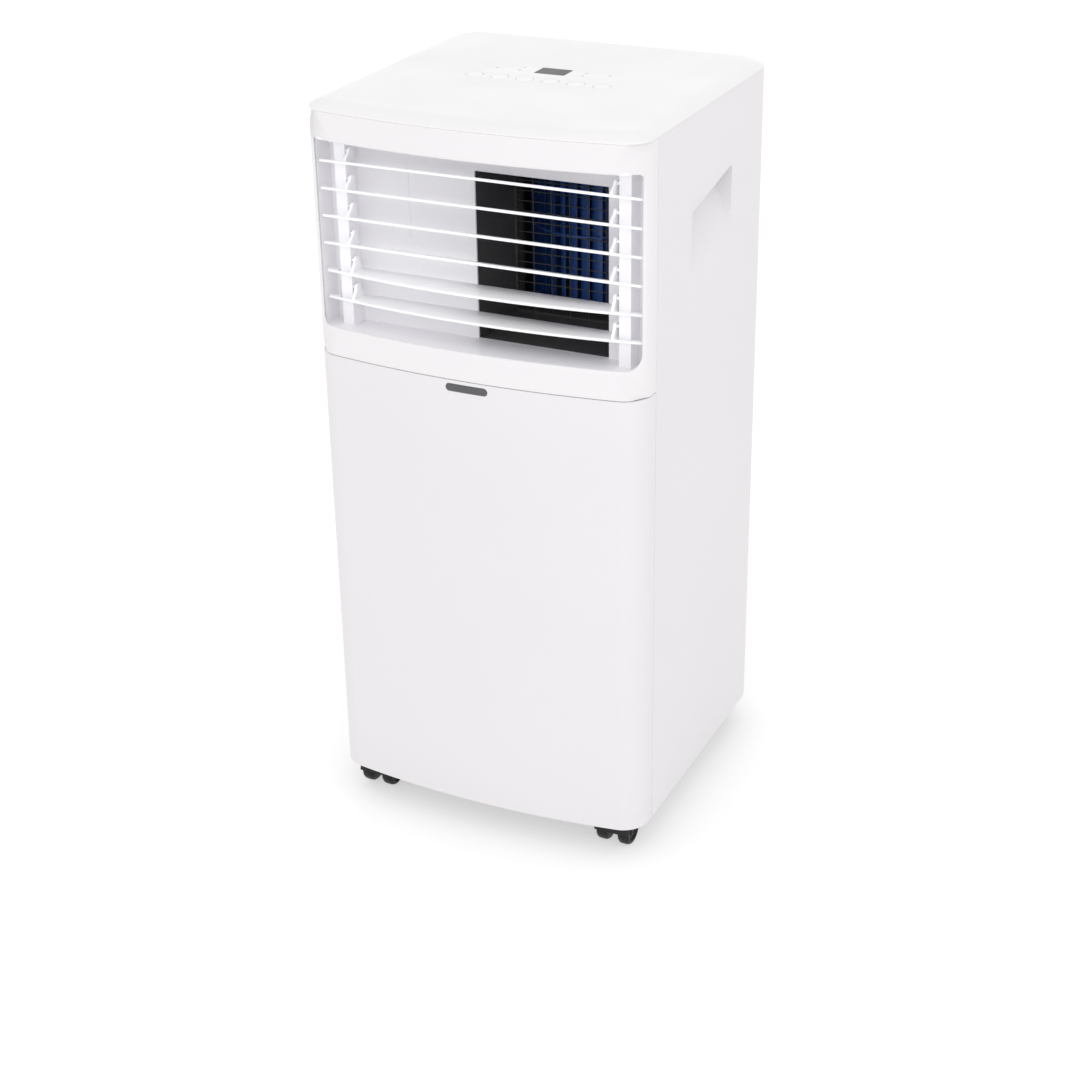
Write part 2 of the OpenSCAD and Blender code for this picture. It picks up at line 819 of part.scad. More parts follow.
module evaporator_fins() {
  color("Silver") fins(-128, 117, 126, 146, 484, 640, [131, 141], 6, 497);
}

module evaporator_tubes() {
  color([0.72, 0.45, 0.3]) for (y = [131, 141]) serpentine(-134, 124, y, 6, 497);
}

module condenser_fins() {
  color("Silver") fins(-128, 128, 118, 142, 66, 269, [124, 136], 8, 80);
}

module condenser_tubes() {
  color([0.72, 0.45, 0.3]) for (y = [124, 136]) serpentine(-134, 134, y, 8, 80);
}

module compressor() {
  color([0.12, 0.12, 0.13]) {
    translate([comp_x, comp_y, 0]) {
      translate([0, 0, 85]) cylinder(r = comp_r, h = 150);
      intersection() {
        translate([0, 0, 176.9]) sphere(r = 80);
        translate([0, 0, 230]) cylinder(r = comp_r, h = 60);
      }
      intersection() {
        translate([0, 0, 143.1]) sphere(r = 80);
        translate([0, 0, 60]) cylinder(r = comp_r, h = 30);
      }
      translate([0, 0, 158]) cylinder(r = comp_r + 1, h = 4);
      translate([0, 0, 70]) linear_extrude(3) difference() {
        union() {
          circle(r = 45);
          for (a = [30:120:270]) rotate(a) {
            translate([0, -12]) square([foot_r, 24]);
            translate([foot_r, 0]) circle(r = 12);
          }
        }
        for (a = [30:120:270]) rotate(a) translate([foot_r, 0]) circle(r = 4);
      }
      translate([-14, -10, 245]) cube([28, 20, 20]);
    }
    translate([acc_x, comp_y, 130]) sphere(r = acc_r);
    translate([acc_x, comp_y, 130]) cylinder(r = acc_r, h = 90);
    translate([acc_x, comp_y, 220]) sphere(r = acc_r);
    translate([-2, comp_y - 9, 178]) cube([8, 18, 8]);
  }
}

module compressor_mounts() {
  color([0.1, 0.1, 0.1]) translate([comp_x, comp_y, pan_z + pan_t]) for (a = [30:120:270])
    rotate(a) translate([foot_r, 0, 0]) {
      cylinder(r = 9, h = 20);
      cylinder(r = 3.6, h = 26);
    }
}

// Bent pipe through a list of points, rounded at each corner
module pipe(points, r) {
  for (k = [0:len(points) - 2]) {
    a = points[k];
    b = points[k + 1];
    d = b - a;
    length = norm(d);
    translate(a) rotate([0, acos(d[2]/length), atan2(d[1], d[0])])
      cylinder(r = r, h = length, $fn = 24);
    if (k > 0) translate(a) sphere(r = r, $fn = 24);
  }
}

module refrigerant_pipes() {
  color([0.72, 0.45, 0.3]) {
    pipe([[comp_x, comp_y + 20, 256], [comp_x, comp_y + 20, 320], [-140, comp_y + 20, 320],
      [-140, 124, 320], [-140, 124, 255], [-134.1, 124, 255]], pipe_r);
    pipe([[-134.1, 124, 80], [-155, 124, 80], [-155, 124, 497], [-155, 131, 497],
      [-134.1, 131, 497]], pipe_r);
    pipe([[-134.1, 131, 622], [-155, 131, 622], [-155, 100, 622], [-155, 100, 300],
      [-155, 60, 300], [acc_x, 60, 300], [acc_x, comp_y, 300], [acc_x, comp_y, 240.2]], pipe_r);
    pipe([[acc_x, comp_y, 109.8], [acc_x, comp_y, 98], [0.2, comp_y, 98]], pipe_r);
  }
}

// Caster carried on its stem; the wheels trail to the side given by s
module caster_housing(x, y, s) {
  color([0.08, 0.08, 0.08]) translate([x, y, 0]) {
    translate([0, 0, 42]) cylinder(r = stem_r, h = 19);
    translate([0, 0, 42]) cylinder(r = 13, h = 3);
    translate([-caster_leg, -neck_half, caster_r + 8])
      cube([2*caster_leg, 2*neck_half, 43 - caster_r - 8]);
    translate([0, s*trail, caster_r]) {
      rod_x(-caster_leg, caster_leg, 0, 0, 6);
      rod_x(-caster_half + 0.5, caster_half - 0.5, 0, 0, 3);
      intersection() {
        rod_x(-caster_leg, caster_leg, 0, 0, caster_r + 2.5);
        translate([-20, s < 0 ? -6 : -26, 0]) cube([40, 32, 30]);
      }
      intersection() {
        difference() {
          rod_x(-caster_half - 0.5, caster_half + 0.5, 0, 0, caster_r + 2.5);
          rod_x(-30, 30, 0, 0, caster_r + 0.9);
        }
        translate([-20, s < 0 ? -6 : -26, 2]) cube([40, 32, 30]);
      }
    }
  }
}

module caster_wheels(x, y, s) {
  color([0.05, 0.05, 0.05]) translate([x, y + s*trail, caster_r]) for (m = [0, 1])
    mirror([m, 0, 0]) difference() {
      union() {
        rod_x(caster_leg + 1.7, caster_half - 1, 0, 0, caster_r);
        rod_x(caster_leg + 0.7, caster_half, 0, 0, caster_r - 1.5);
      }
      rod_x(0, 30, 0, 0, 3.3);
      difference() {
        rod_x(caster_half - 2, 30, 0, 0, caster_r - 4.5);
        rod_x(0, 40, 0, 0, 6);
      }
    }
}

module caster_front_left() { caster_housing(-stem_x, front_stem_y, -1); }
module caster_front_right() { caster_housing(stem_x, front_stem_y, -1); }
module caster_rear_left() { caster_housing(-stem_x, rear_stem_y, 1); }
module caster_rear_right() { caster_housing(stem_x, rear_stem_y, 1); }
module wheels_front_left() { caster_wheels(-stem_x, front_stem_y, -1); }
module wheels_front_right() { caster_wheels(stem_x, front_stem_y, -1); }
module wheels_rear_left() { caster_wheels(-stem_x, rear_stem_y, 1); }
module wheels_rear_right() { caster_wheels(stem_x, rear_stem_y, 1); }

top_cover();
display_window();
indicator_lenses();
key_power();
key_mode();
key_speed();
key_timer();
key_down();
key_up();
control_tray();
control_board();
outlet_frame();
outlet_liner();
louvre_blade_1();
louvre_blade_2();
louvre_blade_3();
louvre_blade_4();
louvre_blade_5();
louvre_blade_6();
blower_scroll();
guard_grid();
blower_wheel();
blower_shaft();
blower_motor();
front_panel();
badge();
side_panel_left();
side_panel_right();
rear_panel();
rear_screws();
filter_cover();
filter_mesh();
condenser_grille();
exhaust_collar();
exhaust_guard();
exhaust_fan();
exhaust_motor();
cord_gland();
drain_plug_upper();
drain_plug_lower();
base_pan();
drip_deck();
evaporator_fins();
evaporator_tubes();
condenser_fins();
condenser_tubes();
compressor();
compressor_mounts();
refrigerant_pipes();
caster_front_left();
caster_front_right();
caster_rear_left();
caster_rear_right();
wheels_front_left();
wheels_front_right();
wheels_rear_left();
wheels_rear_right();
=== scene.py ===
"""Portable air conditioner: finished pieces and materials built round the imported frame."""

import bpy
import bmesh
from math import asin, ceil, cos, hypot, pi, radians, sin, sqrt, tan
from mathutils import Vector, Matrix
from mathutils.geometry import delaunay_2d_cdt


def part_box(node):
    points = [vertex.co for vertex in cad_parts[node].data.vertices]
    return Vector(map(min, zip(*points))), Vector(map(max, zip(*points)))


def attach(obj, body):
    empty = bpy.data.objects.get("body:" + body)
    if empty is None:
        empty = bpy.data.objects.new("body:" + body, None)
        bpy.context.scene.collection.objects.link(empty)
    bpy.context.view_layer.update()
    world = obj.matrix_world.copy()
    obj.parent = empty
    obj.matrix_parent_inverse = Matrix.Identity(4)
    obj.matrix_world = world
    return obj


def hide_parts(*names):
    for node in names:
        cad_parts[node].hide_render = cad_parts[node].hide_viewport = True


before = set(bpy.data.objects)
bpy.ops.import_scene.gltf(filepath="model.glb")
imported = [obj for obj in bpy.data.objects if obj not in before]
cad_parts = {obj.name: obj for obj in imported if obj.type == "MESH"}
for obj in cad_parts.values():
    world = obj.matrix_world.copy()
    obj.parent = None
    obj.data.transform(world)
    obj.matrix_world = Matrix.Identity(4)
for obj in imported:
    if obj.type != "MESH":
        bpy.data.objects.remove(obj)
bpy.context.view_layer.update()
MM = 0.001


def span(node):
    """Low and high corner of a frame node, in mm."""
    lo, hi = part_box(node)
    return [v * 1000 for v in lo], [v * 1000 for v in hi]


def centre(node):
    lo, hi = span(node)
    return [(a + b) / 2 for a, b in zip(lo, hi)]


# ---- main sizes, in mm
LID_LO, LID_HI = span("top_cover")
HALF = (LID_HI[0] - LID_LO[0]) / 2
FRONT, REAR, TOP = LID_LO[1], LID_HI[1], LID_HI[2]
LID_Z = TOP - 7
UNDER_LID = LID_Z - 0.12
SKIRT = span("front_panel")[0][2]
SEAM_Y = span("front_panel")[1][1]
PANEL_TOP = span("front_panel")[1][2]
FRAME_Z = span("outlet_frame")[0][2]
WALL = 2.5
# Housing outline: bow of the front, radii of the front and rear corners, radius and centre of
# the bow, centre of the front corner, angle at which the bow turns into it.
BOW, FC, RC = 15.0, 27.0, 34.0
BR = (HALF**2 + BOW**2) / (2 * BOW)
BY = FRONT + BR
CX = HALF - FC
CY = BY - sqrt((BR - FC) ** 2 - CX**2)
TH = asin(CX / (BR - FC))
# Arc lengths from the front centre to the end of the bow, the corner, the side, the rear
# corner and the middle of the rear, then to the seam behind the front cover.
S1 = BR * TH
S2 = S1 + FC * (pi / 2 - TH)
S3 = S2 + (REAR - RC - CY)
S4 = S3 + RC * pi / 2
S5 = S4 + HALF - RC
S_SEAM = S2 + SEAM_Y - CY
OPEN_HALF, OPEN_Z0, OPEN_Z1 = 158.5, 496.0, 667.0
GLAND_Z = 330.0
SCREWS = [(s * 124.5, z) for s in (-1, 1) for z in (60, 270, 480, 670)]


def edge(s, d=0.0):
    """Point of the housing outline at arc length s from the front centre, d inside it."""
    g, s = (-1 if s < 0 else 1), abs(s)
    if s <= S1:
        a = s / BR
        x, y = (BR - d) * sin(a), BY - (BR - d) * cos(a)
    elif s <= S2:
        a = TH + (s - S1) / FC
        x, y = CX + (FC - d) * sin(a), CY - (FC - d) * cos(a)
    elif s <= S3:
        x, y = HALF - d, CY + s - S2
    elif s <= S4:
        a = (s - S3) / RC
        x, y = HALF - RC + (RC - d) * cos(a), REAR - RC + (RC - d) * sin(a)
    else:
        x, y = HALF - RC - (s - S4), REAR - d
    return g * x, y


def s_of_x(x):
    """Arc length of the outline point at x, on the front."""
    g, x = (-1 if x < 0 else 1), abs(x)
    if x <= BR * sin(TH):
        return g * BR * asin(x / BR)
    return g * (S1 + FC * (asin((x - CX) / FC) - TH))


def stations(s0, s1):
    """Arc lengths from s0 to s1, close together on the rounded corners."""
    steps = [(S1, 6.0), (S2, 1.5), (S3, 20.0), (S4, 1.8), (S5, 20.0)]
    marks = sorted({m * g for m, _ in steps for g in (-1, 1)} | {0.0})
    cuts = [s0] + [m for m in marks if s0 < m < s1] + [s1]
    out = [s0]
    for a, b in zip(cuts, cuts[1:]):
        mid = abs((a + b) / 2)
        step = next((w for m, w in steps if mid <= m), 20.0)
        n = max(1, ceil((b - a) / step))
        out += [a + (b - a) * i / n for i in range(1, n + 1)]
    return out


# ---- mesh helpers
def build(name, verts, faces, smooth=40):
    """Mesh object from points in mm, smooth but for edges sharper than smooth degrees."""
    me = bpy.data.meshes.new(name)
    me.from_pydata([(x * MM, y * MM, z * MM) for x, y, z in verts], [], faces)
    bm = bmesh.new()
    bm.from_mesh(me)
    bmesh.ops.remove_doubles(bm, verts=bm.verts, dist=1e-6)
    bmesh.ops.recalc_face_normals(bm, faces=bm.faces)
    bm.to_mesh(me)
    bm.free()
    me.polygons.foreach_set("use_smooth", [True] * len(me.polygons))
    me.set_sharp_from_angle(angle=radians(smooth))
    o = bpy.data.objects.new(name, me)
    bpy.context.scene.collection.objects.link(o)
    return o


def bevel(o, width, seg=2, angle=35):
    """Softens the edges that are sharper than angle degrees, width in mm."""
    m = o.modifiers.new("soft_edges", "BEVEL")
    m.width, m.segments, m.limit_method = width * MM, seg, "ANGLE"
    m.angle_limit = radians(angle)
    m.harden_normals = True
    m.miter_outer = "MITER_ARC"


def finish_piece(o, node, mat, body="housing"):
    """Paints the piece, hangs it on its body and lets it stand for its frame node."""
    o.data.materials.append(mat)
    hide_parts(node)
    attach(o, body)


def join(name, parts, smooth=40):
    """One mesh from several (verts, faces) lists."""
    verts, faces = [], []
    for v, f in parts:
        n = len(verts)
        verts += v
        faces += [tuple(i + n for i in q) for q in f]
    return build(name, verts, faces, smooth)


def inside(p, loop):
    """Whether the point lies inside the closed outline."""
    hit = False
    for (x0, y0), (x1, y1) in zip(loop, loop[1:] + loop[:1]):
        if (y0 > p[1]) != (y1 > p[1]) and p[0] < (x1 - x0) * (p[1] - y0) / (y1 - y0) + x0:
            hit = not hit
    return hit


def triangles(outer, holes):
    """Triangles that fill outer less its holes, as indices into outer + holes."""
    pts, edges = [], []
    for loop in [outer] + holes:
        n = len(pts)
        pts += loop
        edges += [(n + i, n + (i + 1) % len(loop)) for i in range(len(loop))]
    got = delaunay_2d_cdt([Vector(p) for p in pts], edges, [], 0, 1e-6)
    back = [o[0] if o else None for o in got[3]]
    tris = []
    for f in got[2]:
        c = sum((got[0][i] for i in f), Vector((0, 0))) / 3
        if inside(c, outer) and not any(inside(c, h) for h in holes):
            tris.append(tuple(back[i] for i in f))
    return pts, tris


def put(p, h, axis):
    """Point with drawing coordinates p at height h along axis."""
    if axis == "z":
        return (p[0], p[1], h)
    if axis == "y":
        return (p[0], h, p[1])
    return (h, p[0], p[1])


def band(r0, r1):
    """Faces between two closed rings of vertex numbers."""
    n = len(r0)
    return [(r0[i], r0[(i + 1) % n], r1[(i + 1) % n], r1[i]) for i in range(n)]


def prism(outer, holes, a, b, axis="z"):
    """Solid between heights a and b along axis, with holes right through."""
    pts, tris = triangles(outer, holes)
    n = len(pts)
    verts = [put(p, a, axis) for p in pts] + [put(p, b, axis) for p in pts]
    faces = list(tris) + [tuple(i + n for i in reversed(t)) for t in tris]
    k = 0
    for loop in [outer] + holes:
        m = len(loop)
        faces += band(range(k, k + m), range(k + n, k + n + m))
        k += m
    return verts, faces


def flatten(o):
    """Merges the triangles of flat faces, so that bevels run clean."""
    bm = bmesh.new()
    bm.from_mesh(o.data)
    bmesh.ops.dissolve_limit(bm, angle_limit=radians(0.6), verts=bm.verts, edges=bm.edges)
    bm.to_mesh(o.data)
    bm.free()
    return o


def circle(cx, cy, r, n=32):
    return [(cx + r * cos(2 * pi * i / n), cy + r * sin(2 * pi * i / n)) for i in range(n)]


def arc(cx, cy, r, a, b, n=4):
    """Points of an arc from a to b degrees, both ends included."""
    turn = [radians(a + (b - a) * i / n) for i in range(n + 1)]
    return [(cx + r * cos(w), cy + r * sin(w)) for w in turn]


def rounded(x0, y0, x1, y1, r, n=6):
    """Rounded rectangle, anticlockwise from its low left corner."""
    corners = [(x0 + r, y0 + r, pi), (x1 - r, y0 + r, 1.5 * pi), (x1 - r, y1 - r, 0.0),
               (x0 + r, y1 - r, 0.5 * pi)]
    return [(cx + r * cos(a + pi / 2 * i / n), cy + r * sin(a + pi / 2 * i / n))
            for cx, cy, a in corners for i in range(n + 1)]


def lathe(profile, c, axis="z", n=48, closed=False):
    """Turned solid: profile is (radius, height) along axis through c."""
    verts, faces, m = [], [], len(profile)
    for i in range(n):
        a = 2 * pi * i / n
        for r, h in profile:
            p = put((r * cos(a), r * sin(a)), h, axis)
            verts.append(tuple(u + v for u, v in zip(c, p)))
    last = m if closed else m - 1
    for i in range(n):
        j = (i + 1) % n
        for k in range(last):
            q = (k + 1) % m
            quad = (i * m + k, j * m + k, j * m + q, i * m + q)
            if profile[k][0] < 1e-6:
                quad = (i * m + k, j * m + q, i * m + q)
            elif profile[q][0] < 1e-6:
                quad = (i * m + k, j * m + k, i * m + q)
            faces.append(quad)
    return verts, faces


def tube(a, b, r, n=8):
    """Straight round wire from a to b."""
    d = (Vector(b) - Vector(a)).normalized()
    u = d.cross(Vector((0, 0, 1)) if abs(d.z) < 0.9 else Vector((1, 0, 0))).normalized()
    v = d.cross(u)
    verts = []
    for p in (a, b):
        for k in range(n):
            t = 2 * pi * k / n
            verts.append(tuple(Vector(p) + r * (cos(t) * u + sin(t) * v)))
    caps = [tuple(range(n)), tuple(reversed(range(n, 2 * n)))]
    return verts, band(range(n), range(n, 2 * n)) + caps


def box(x0, x1, y0, y1, z0, z1):
    v = [(x, y, z) for z in (z0, z1) for y in (y0, y1) for x in (x0, x1)]
    f = [(0, 1, 3, 2), (4, 6, 7, 5), (0, 4, 5, 1), (2, 3, 7, 6), (0, 2, 6, 4), (1, 5, 7, 3)]
    return v, f


def mirrored(part):
    v, f = part
    return [(-x, y, z) for x, y, z in v], [tuple(reversed(q)) for q in f]


def sections(rows, close=True):
    """Skin over a row of closed cross-sections with the same number of points."""
    m = len(rows[0])
    verts = [p for row in rows for p in row]
    faces = []
    for k in range(0, len(verts) - m, m):
        faces += band(range(k, k + m), range(k + m, k + 2 * m))
    if close:
        faces.append(tuple(reversed(range(m))))
        faces.append(tuple(range(len(verts) - m, len(verts))))
    return verts, faces


def rim_prism(lo, hi, width, radii, n, y0, y1, more=()):
    """Rectangular frame between y0 and y1, with its outer and inner corner radii."""
    loop = rounded(lo[0], lo[2], hi[0], hi[2], radii[0], n)
    hole = rounded(lo[0] + width, lo[2] + width, hi[0] - width, hi[2] - width, radii[1], n)
    return prism(loop, [hole, *more], y0, y1, "y")


def spaced(a, b, step):
    """Values from a on, step apart, that stay below b."""
    out = []
    while a < b:
        out.append(a)
        a += step
    return out


# ---- materials
DUST = (0.45, 0.44, 0.42)


def new_noise(nt, vec, scale, detail=3.0, rough=0.5, stretch=None):
    n = nt.nodes.new("ShaderNodeTexNoise")
    n.inputs["Scale"].default_value = scale
    n.inputs["Detail"].default_value = detail
    n.inputs["Roughness"].default_value = rough
    if stretch:
        mp = nt.nodes.new("ShaderNodeMapping")
        mp.inputs["Scale"].default_value = stretch
        nt.links.new(vec, mp.inputs["Vector"])
        vec = mp.outputs["Vector"]
    nt.links.new(vec, n.inputs["Vector"])
    return n.outputs["Fac"]


def remap(nt, value, a, b, lo=0.3, hi=0.7):
    """Value from lo to hi mapped to a to b."""
    m = nt.nodes.new("ShaderNodeMapRange")
    m.inputs["From Min"].default_value = lo
    m.inputs["From Max"].default_value = hi
    m.inputs["To Min"].default_value = a
    m.inputs["To Max"].default_value = b
    nt.links.new(value, m.inputs["Value"])
    return m.outputs["Result"]


def combine(nt, how, a, b):
    m = nt.nodes.new("ShaderNodeMath")
    m.operation = how
    nt.links.new(a, m.inputs[0])
    nt.links.new(b, m.inputs[1])
    return m.outputs[0]


def blend_colour(nt, fac, a, b):
    """Mix of two colours, each a tuple or a socket; 6, 7 and 2 are the mix node's colour sockets."""
    m = nt.nodes.new("ShaderNodeMix")
    m.data_type = "RGBA"
    for i, c in ((6, a), (7, b)):
        if isinstance(c, tuple):
            m.inputs[i].default_value = c + (1.0,)
        else:
            nt.links.new(c, m.inputs[i])
    nt.links.new(fac, m.inputs[0])
    return m.outputs[2]


def dusted(nt, vec, col, dust):
    """Colour with pale dust on faces that look up."""
    sep = nt.nodes.new("ShaderNodeSeparateXYZ")
    nt.links.new(nt.nodes.new("ShaderNodeNewGeometry").outputs["Normal"], sep.inputs[0])
    cloud = remap(nt, new_noise(nt, vec, 60, 6, 0.7), 0, dust)
    up = remap(nt, sep.outputs["Z"], 0, 1, 0.2, 1.0)
    return blend_colour(nt, combine(nt, "MULTIPLY", cloud, up), col, DUST)


def rubbed(nt, vec, col, wear, worn):
    """Colour with worn patches along the edges."""
    point = nt.nodes.new("ShaderNodeNewGeometry").outputs["Pointiness"]
    rim = remap(nt, point, 0, 1, 0.52, 0.62)
    patch = remap(nt, new_noise(nt, vec, 120, 5, 0.7), 0, wear, 0.45, 0.65)
    return blend_colour(nt, combine(nt, "MULTIPLY", rim, patch), col, worn)


def grain_bump(nt, vec, grain, grain_scale, scratch):
    """Normal with fine grain, and fine scratches where scratch is set."""
    height = new_noise(nt, vec, grain_scale, 2, 0.5)
    if scratch:
        lines = new_noise(nt, vec, 60, 3, 0.6, (1.0, 1.0, 40.0))
        height = combine(nt, "ADD", remap(nt, lines, 0, scratch, 0.6, 0.75), height)
    bump = nt.nodes.new("ShaderNodeBump")
    bump.inputs["Strength"].default_value = 0.35
    bump.inputs["Distance"].default_value = grain * MM
    nt.links.new(height, bump.inputs["Height"])
    return bump.outputs["Normal"]


def surface(name, base, rough=0.4, metal=0.0, spec=0.5, coat=0.0, tone=0.02, tone_scale=5.0,
            smudge=0.06, grain=0.02, grain_scale=900.0, scratch=0.0, wear=None, worn=None,
            dust=0.0, glow=0.0):
    """Moulded, painted or metal surface with tone drift, uneven gloss, fine grain and worn edges."""
    mat = bpy.data.materials.new(name)
    mat.use_nodes = True
    nt = mat.node_tree
    vec = nt.nodes.new("ShaderNodeTexCoord").outputs["Object"]
    dark = tuple(c * (1 - tone) for c in base)
    light = tuple(min(1.0, c * (1 + tone)) for c in base)
    col = blend_colour(nt, remap(nt, new_noise(nt, vec, tone_scale, 4), 0, 1), dark, light)
    if dust:
        col = dusted(nt, vec, col, dust)
    if wear:
        col = rubbed(nt, vec, col, wear, worn)
    gloss = remap(nt, new_noise(nt, vec, 14, 5, 0.6), rough - smudge, rough + smudge)
    skin = nt.nodes["Principled BSDF"].inputs
    nt.links.new(col, skin["Base Color"])
    nt.links.new(gloss, skin["Roughness"])
    nt.links.new(grain_bump(nt, vec, grain, grain_scale, scratch), skin["Normal"])
    skin["Metallic"].default_value = metal
    skin["Specular IOR Level"].default_value = spec
    skin["Coat Weight"].default_value = coat
    skin["Coat Roughness"].default_value = 0.12
    # Emission tinted like the base colour; on the inner liner this glow is painted light, on the
    # floor it keeps the floor evenly bright.
    skin["Emission Color"].default_value = tuple(c / max(base) for c in base) + (1.0,)
    skin["Emission Strength"].default_value = glow
    return mat


SHELL = dict(tone=0.012, tone_scale=3.5, smudge=0.05, grain=0.05, grain_scale=1400, wear=0.25,
             worn=(0.83, 0.82, 0.83))
WHITE = surface("shell_white", (0.715, 0.697, 0.713), 0.38, **SHELL)
# Painted light: the outlet surround is the shell white made lighter, standing in for the brighter
# light on the band round the outlet.
SURROUND_LIT = surface("surround_white_painted_light", (0.747, 0.731, 0.743), 0.36, **SHELL)
# Painted light: the lid is the shell white made lighter, standing in for the light falling on the
# top.
LID_LIT = surface("lid_white_painted_light", (0.78, 0.768, 0.775), 0.4, tone=0.01, tone_scale=4,
               smudge=0.06, grain=0.04, grain_scale=1500, wear=0.25, worn=(0.88, 0.88, 0.88))
# Its glow is painted light: the liner lights itself faintly to lift the shade inside the outlet
# recess, and the hose collar, which shares it, glows too.
INNER = surface("inner_white", (0.805, 0.795, 0.82), 0.4, tone=0.012, smudge=0.05,
                grain=0.05, dust=0.02, glow=0.07)
BLADEW = surface("louvre_white", (0.93, 0.93, 0.945), 0.32, tone=0.01, smudge=0.05,
                 grain=0.02, dust=0.01)
KEYW = surface("key_white", (0.78, 0.775, 0.785), 0.36, tone=0.012, smudge=0.08, grain=0.02,
               tone_scale=30)
SCREEN = surface("display_smoke", (0.02, 0.02, 0.021), 0.3, spec=0.12, tone=0.1, smudge=0.05,
                 grain=0.004, tone_scale=40)
LENS = surface("lamp_lens", (0.42, 0.43, 0.45), 0.2, tone=0.05, tone_scale=200, smudge=0.05)
BADGE = surface("badge_grey", (0.07, 0.07, 0.078), 0.25, coat=0.3, tone=0.05, tone_scale=80,
                smudge=0.07, grain=0.01)
BLACK = surface("black_plastic", (0.022, 0.022, 0.024), 0.42, tone=0.12, smudge=0.1, grain=0.06,
                dust=0.12)
GUARD = surface("guard_grey", (0.06, 0.059, 0.058), 0.5, spec=0.3, tone=0.1, smudge=0.1,
                grain=0.04, dust=0.1)
BASE = surface("base_grey", (0.12, 0.12, 0.125), 0.5, tone=0.08, smudge=0.08, grain=0.08,
               dust=0.15)
BLUE = surface("wheel_blue", (0.03, 0.085, 0.30), 0.35, tone=0.08, smudge=0.08, grain=0.03,
               dust=0.08)
STEEL = surface("turned_steel", (0.6, 0.6, 0.61), 0.28, metal=1.0, tone=0.05, tone_scale=60,
                smudge=0.1, grain=0.02, scratch=0.6)
MOTOR = surface("motor_paint", (0.2, 0.2, 0.21), 0.45, metal=0.6, tone=0.1, smudge=0.1,
                grain=0.04, wear=0.6, worn=(0.45, 0.45, 0.45))
NET = surface("filter_net", (0.36, 0.38, 0.41), 0.6, tone=0.06, tone_scale=40, grain=0.05,
              dust=0.2)
RUBBER = surface("black_rubber", (0.022, 0.022, 0.022), 0.62, tone=0.15, smudge=0.1,
                 grain=0.12, grain_scale=700, dust=0.2)
FIN = surface("fin_aluminium", (0.74, 0.75, 0.76), 0.32, metal=1.0, tone=0.05, tone_scale=60,
              smudge=0.08, grain=0.03)
COPPER = surface("copper_tube", (0.72, 0.36, 0.2), 0.3, metal=1.0, tone=0.14, tone_scale=30,
                 smudge=0.12, grain=0.02)
ENAMEL = surface("black_enamel", (0.02, 0.02, 0.022), 0.3, coat=0.3, tone=0.1, smudge=0.08,
                 grain=0.03, wear=0.5, worn=(0.3, 0.3, 0.3))
BOARD = surface("circuit_green", (0.02, 0.12, 0.05), 0.35, tone=0.2, tone_scale=90, smudge=0.1,
                grain=0.03)
CASTER = surface("caster_nylon", (0.009, 0.009, 0.01), 0.45, spec=0.3, tone=0.12, smudge=0.1,
                 grain=0.05, grain_scale=800, dust=0.02)
TREAD = surface("caster_tread", (0.008, 0.008, 0.009), 0.4, spec=0.25, tone=0.15, smudge=0.12,
                grain=0.04, dust=0.03, wear=0.5, worn=(0.03, 0.03, 0.03))
DUCT = surface("duct_plastic", (0.085, 0.083, 0.082), 0.5, spec=0.3, tone=0.1, smudge=0.1,
               grain=0.06, dust=0.06)


# ---- shells
def fillet_depth(q, r):
    """Depth of an edge rounded to r, q into the rounding."""
    q = min(max(q, 0.0), r)
    return r - sqrt(max(r * r - q * q, 0.0))


def border(a, b, r, k):
    """Values from a to b, with extra ones where the edge is rounded."""
    e = [0.0, 0.12 * r, 0.35 * r, 0.65 * r, r]
    mid = [v for v in k if a + 1.2 * r < v < b - 1.2 * r]
    return [a + x for x in e] + mid + [b - x for x in reversed(e)]


def grid_ring(i0, i1, j0, j1, m):
    """Vertex numbers round a block of a grid whose columns have m points."""
    ring = [i * m + j0 for i in range(i0, i1)] + [i1 * m + j for j in range(j0, j1)]
    ring += [i * m + j1 for i in range(i1, i0, -1)] + [i0 * m + j for j in range(j1, j0, -1)]
    return ring


def wall_mesh(ss, zs, ends, r, gap=(0, 0, 0, 0)):
    """Piece of the housing wall on a grid of arc lengths and heights, as two joined skins.

    ends has its first and last arc length and height, r rounds its outer edges, and the cells
    between the columns and rows of gap stay open.
    """
    s0, s1, z0, z1 = ends
    i0, i1, j0, j1 = gap
    n, m = len(ss), len(zs)
    off = n * m
    verts, faces = [], []
    for inner in (0, 1):
        for s in ss:
            for z in zs:
                q = hypot(max(r - (s - s0), r - (s1 - s), 0), max(r - (z - z0), r - (z1 - z), 0))
                verts.append(edge(s, WALL if inner else fillet_depth(q, r)) + (z,))
    for i in range(n - 1):
        for j in range(m - 1):
            if i0 <= i < i1 and j0 <= j < j1:
                continue
            a, b, c, d = i * m + j, (i + 1) * m + j, (i + 1) * m + j + 1, i * m + j + 1
            faces += [(a, b, c, d), (a + off, d + off, c + off, b + off)]
    rim = grid_ring(0, n - 1, 0, m - 1, m)
    return verts, faces + band(rim, [v + off for v in rim])


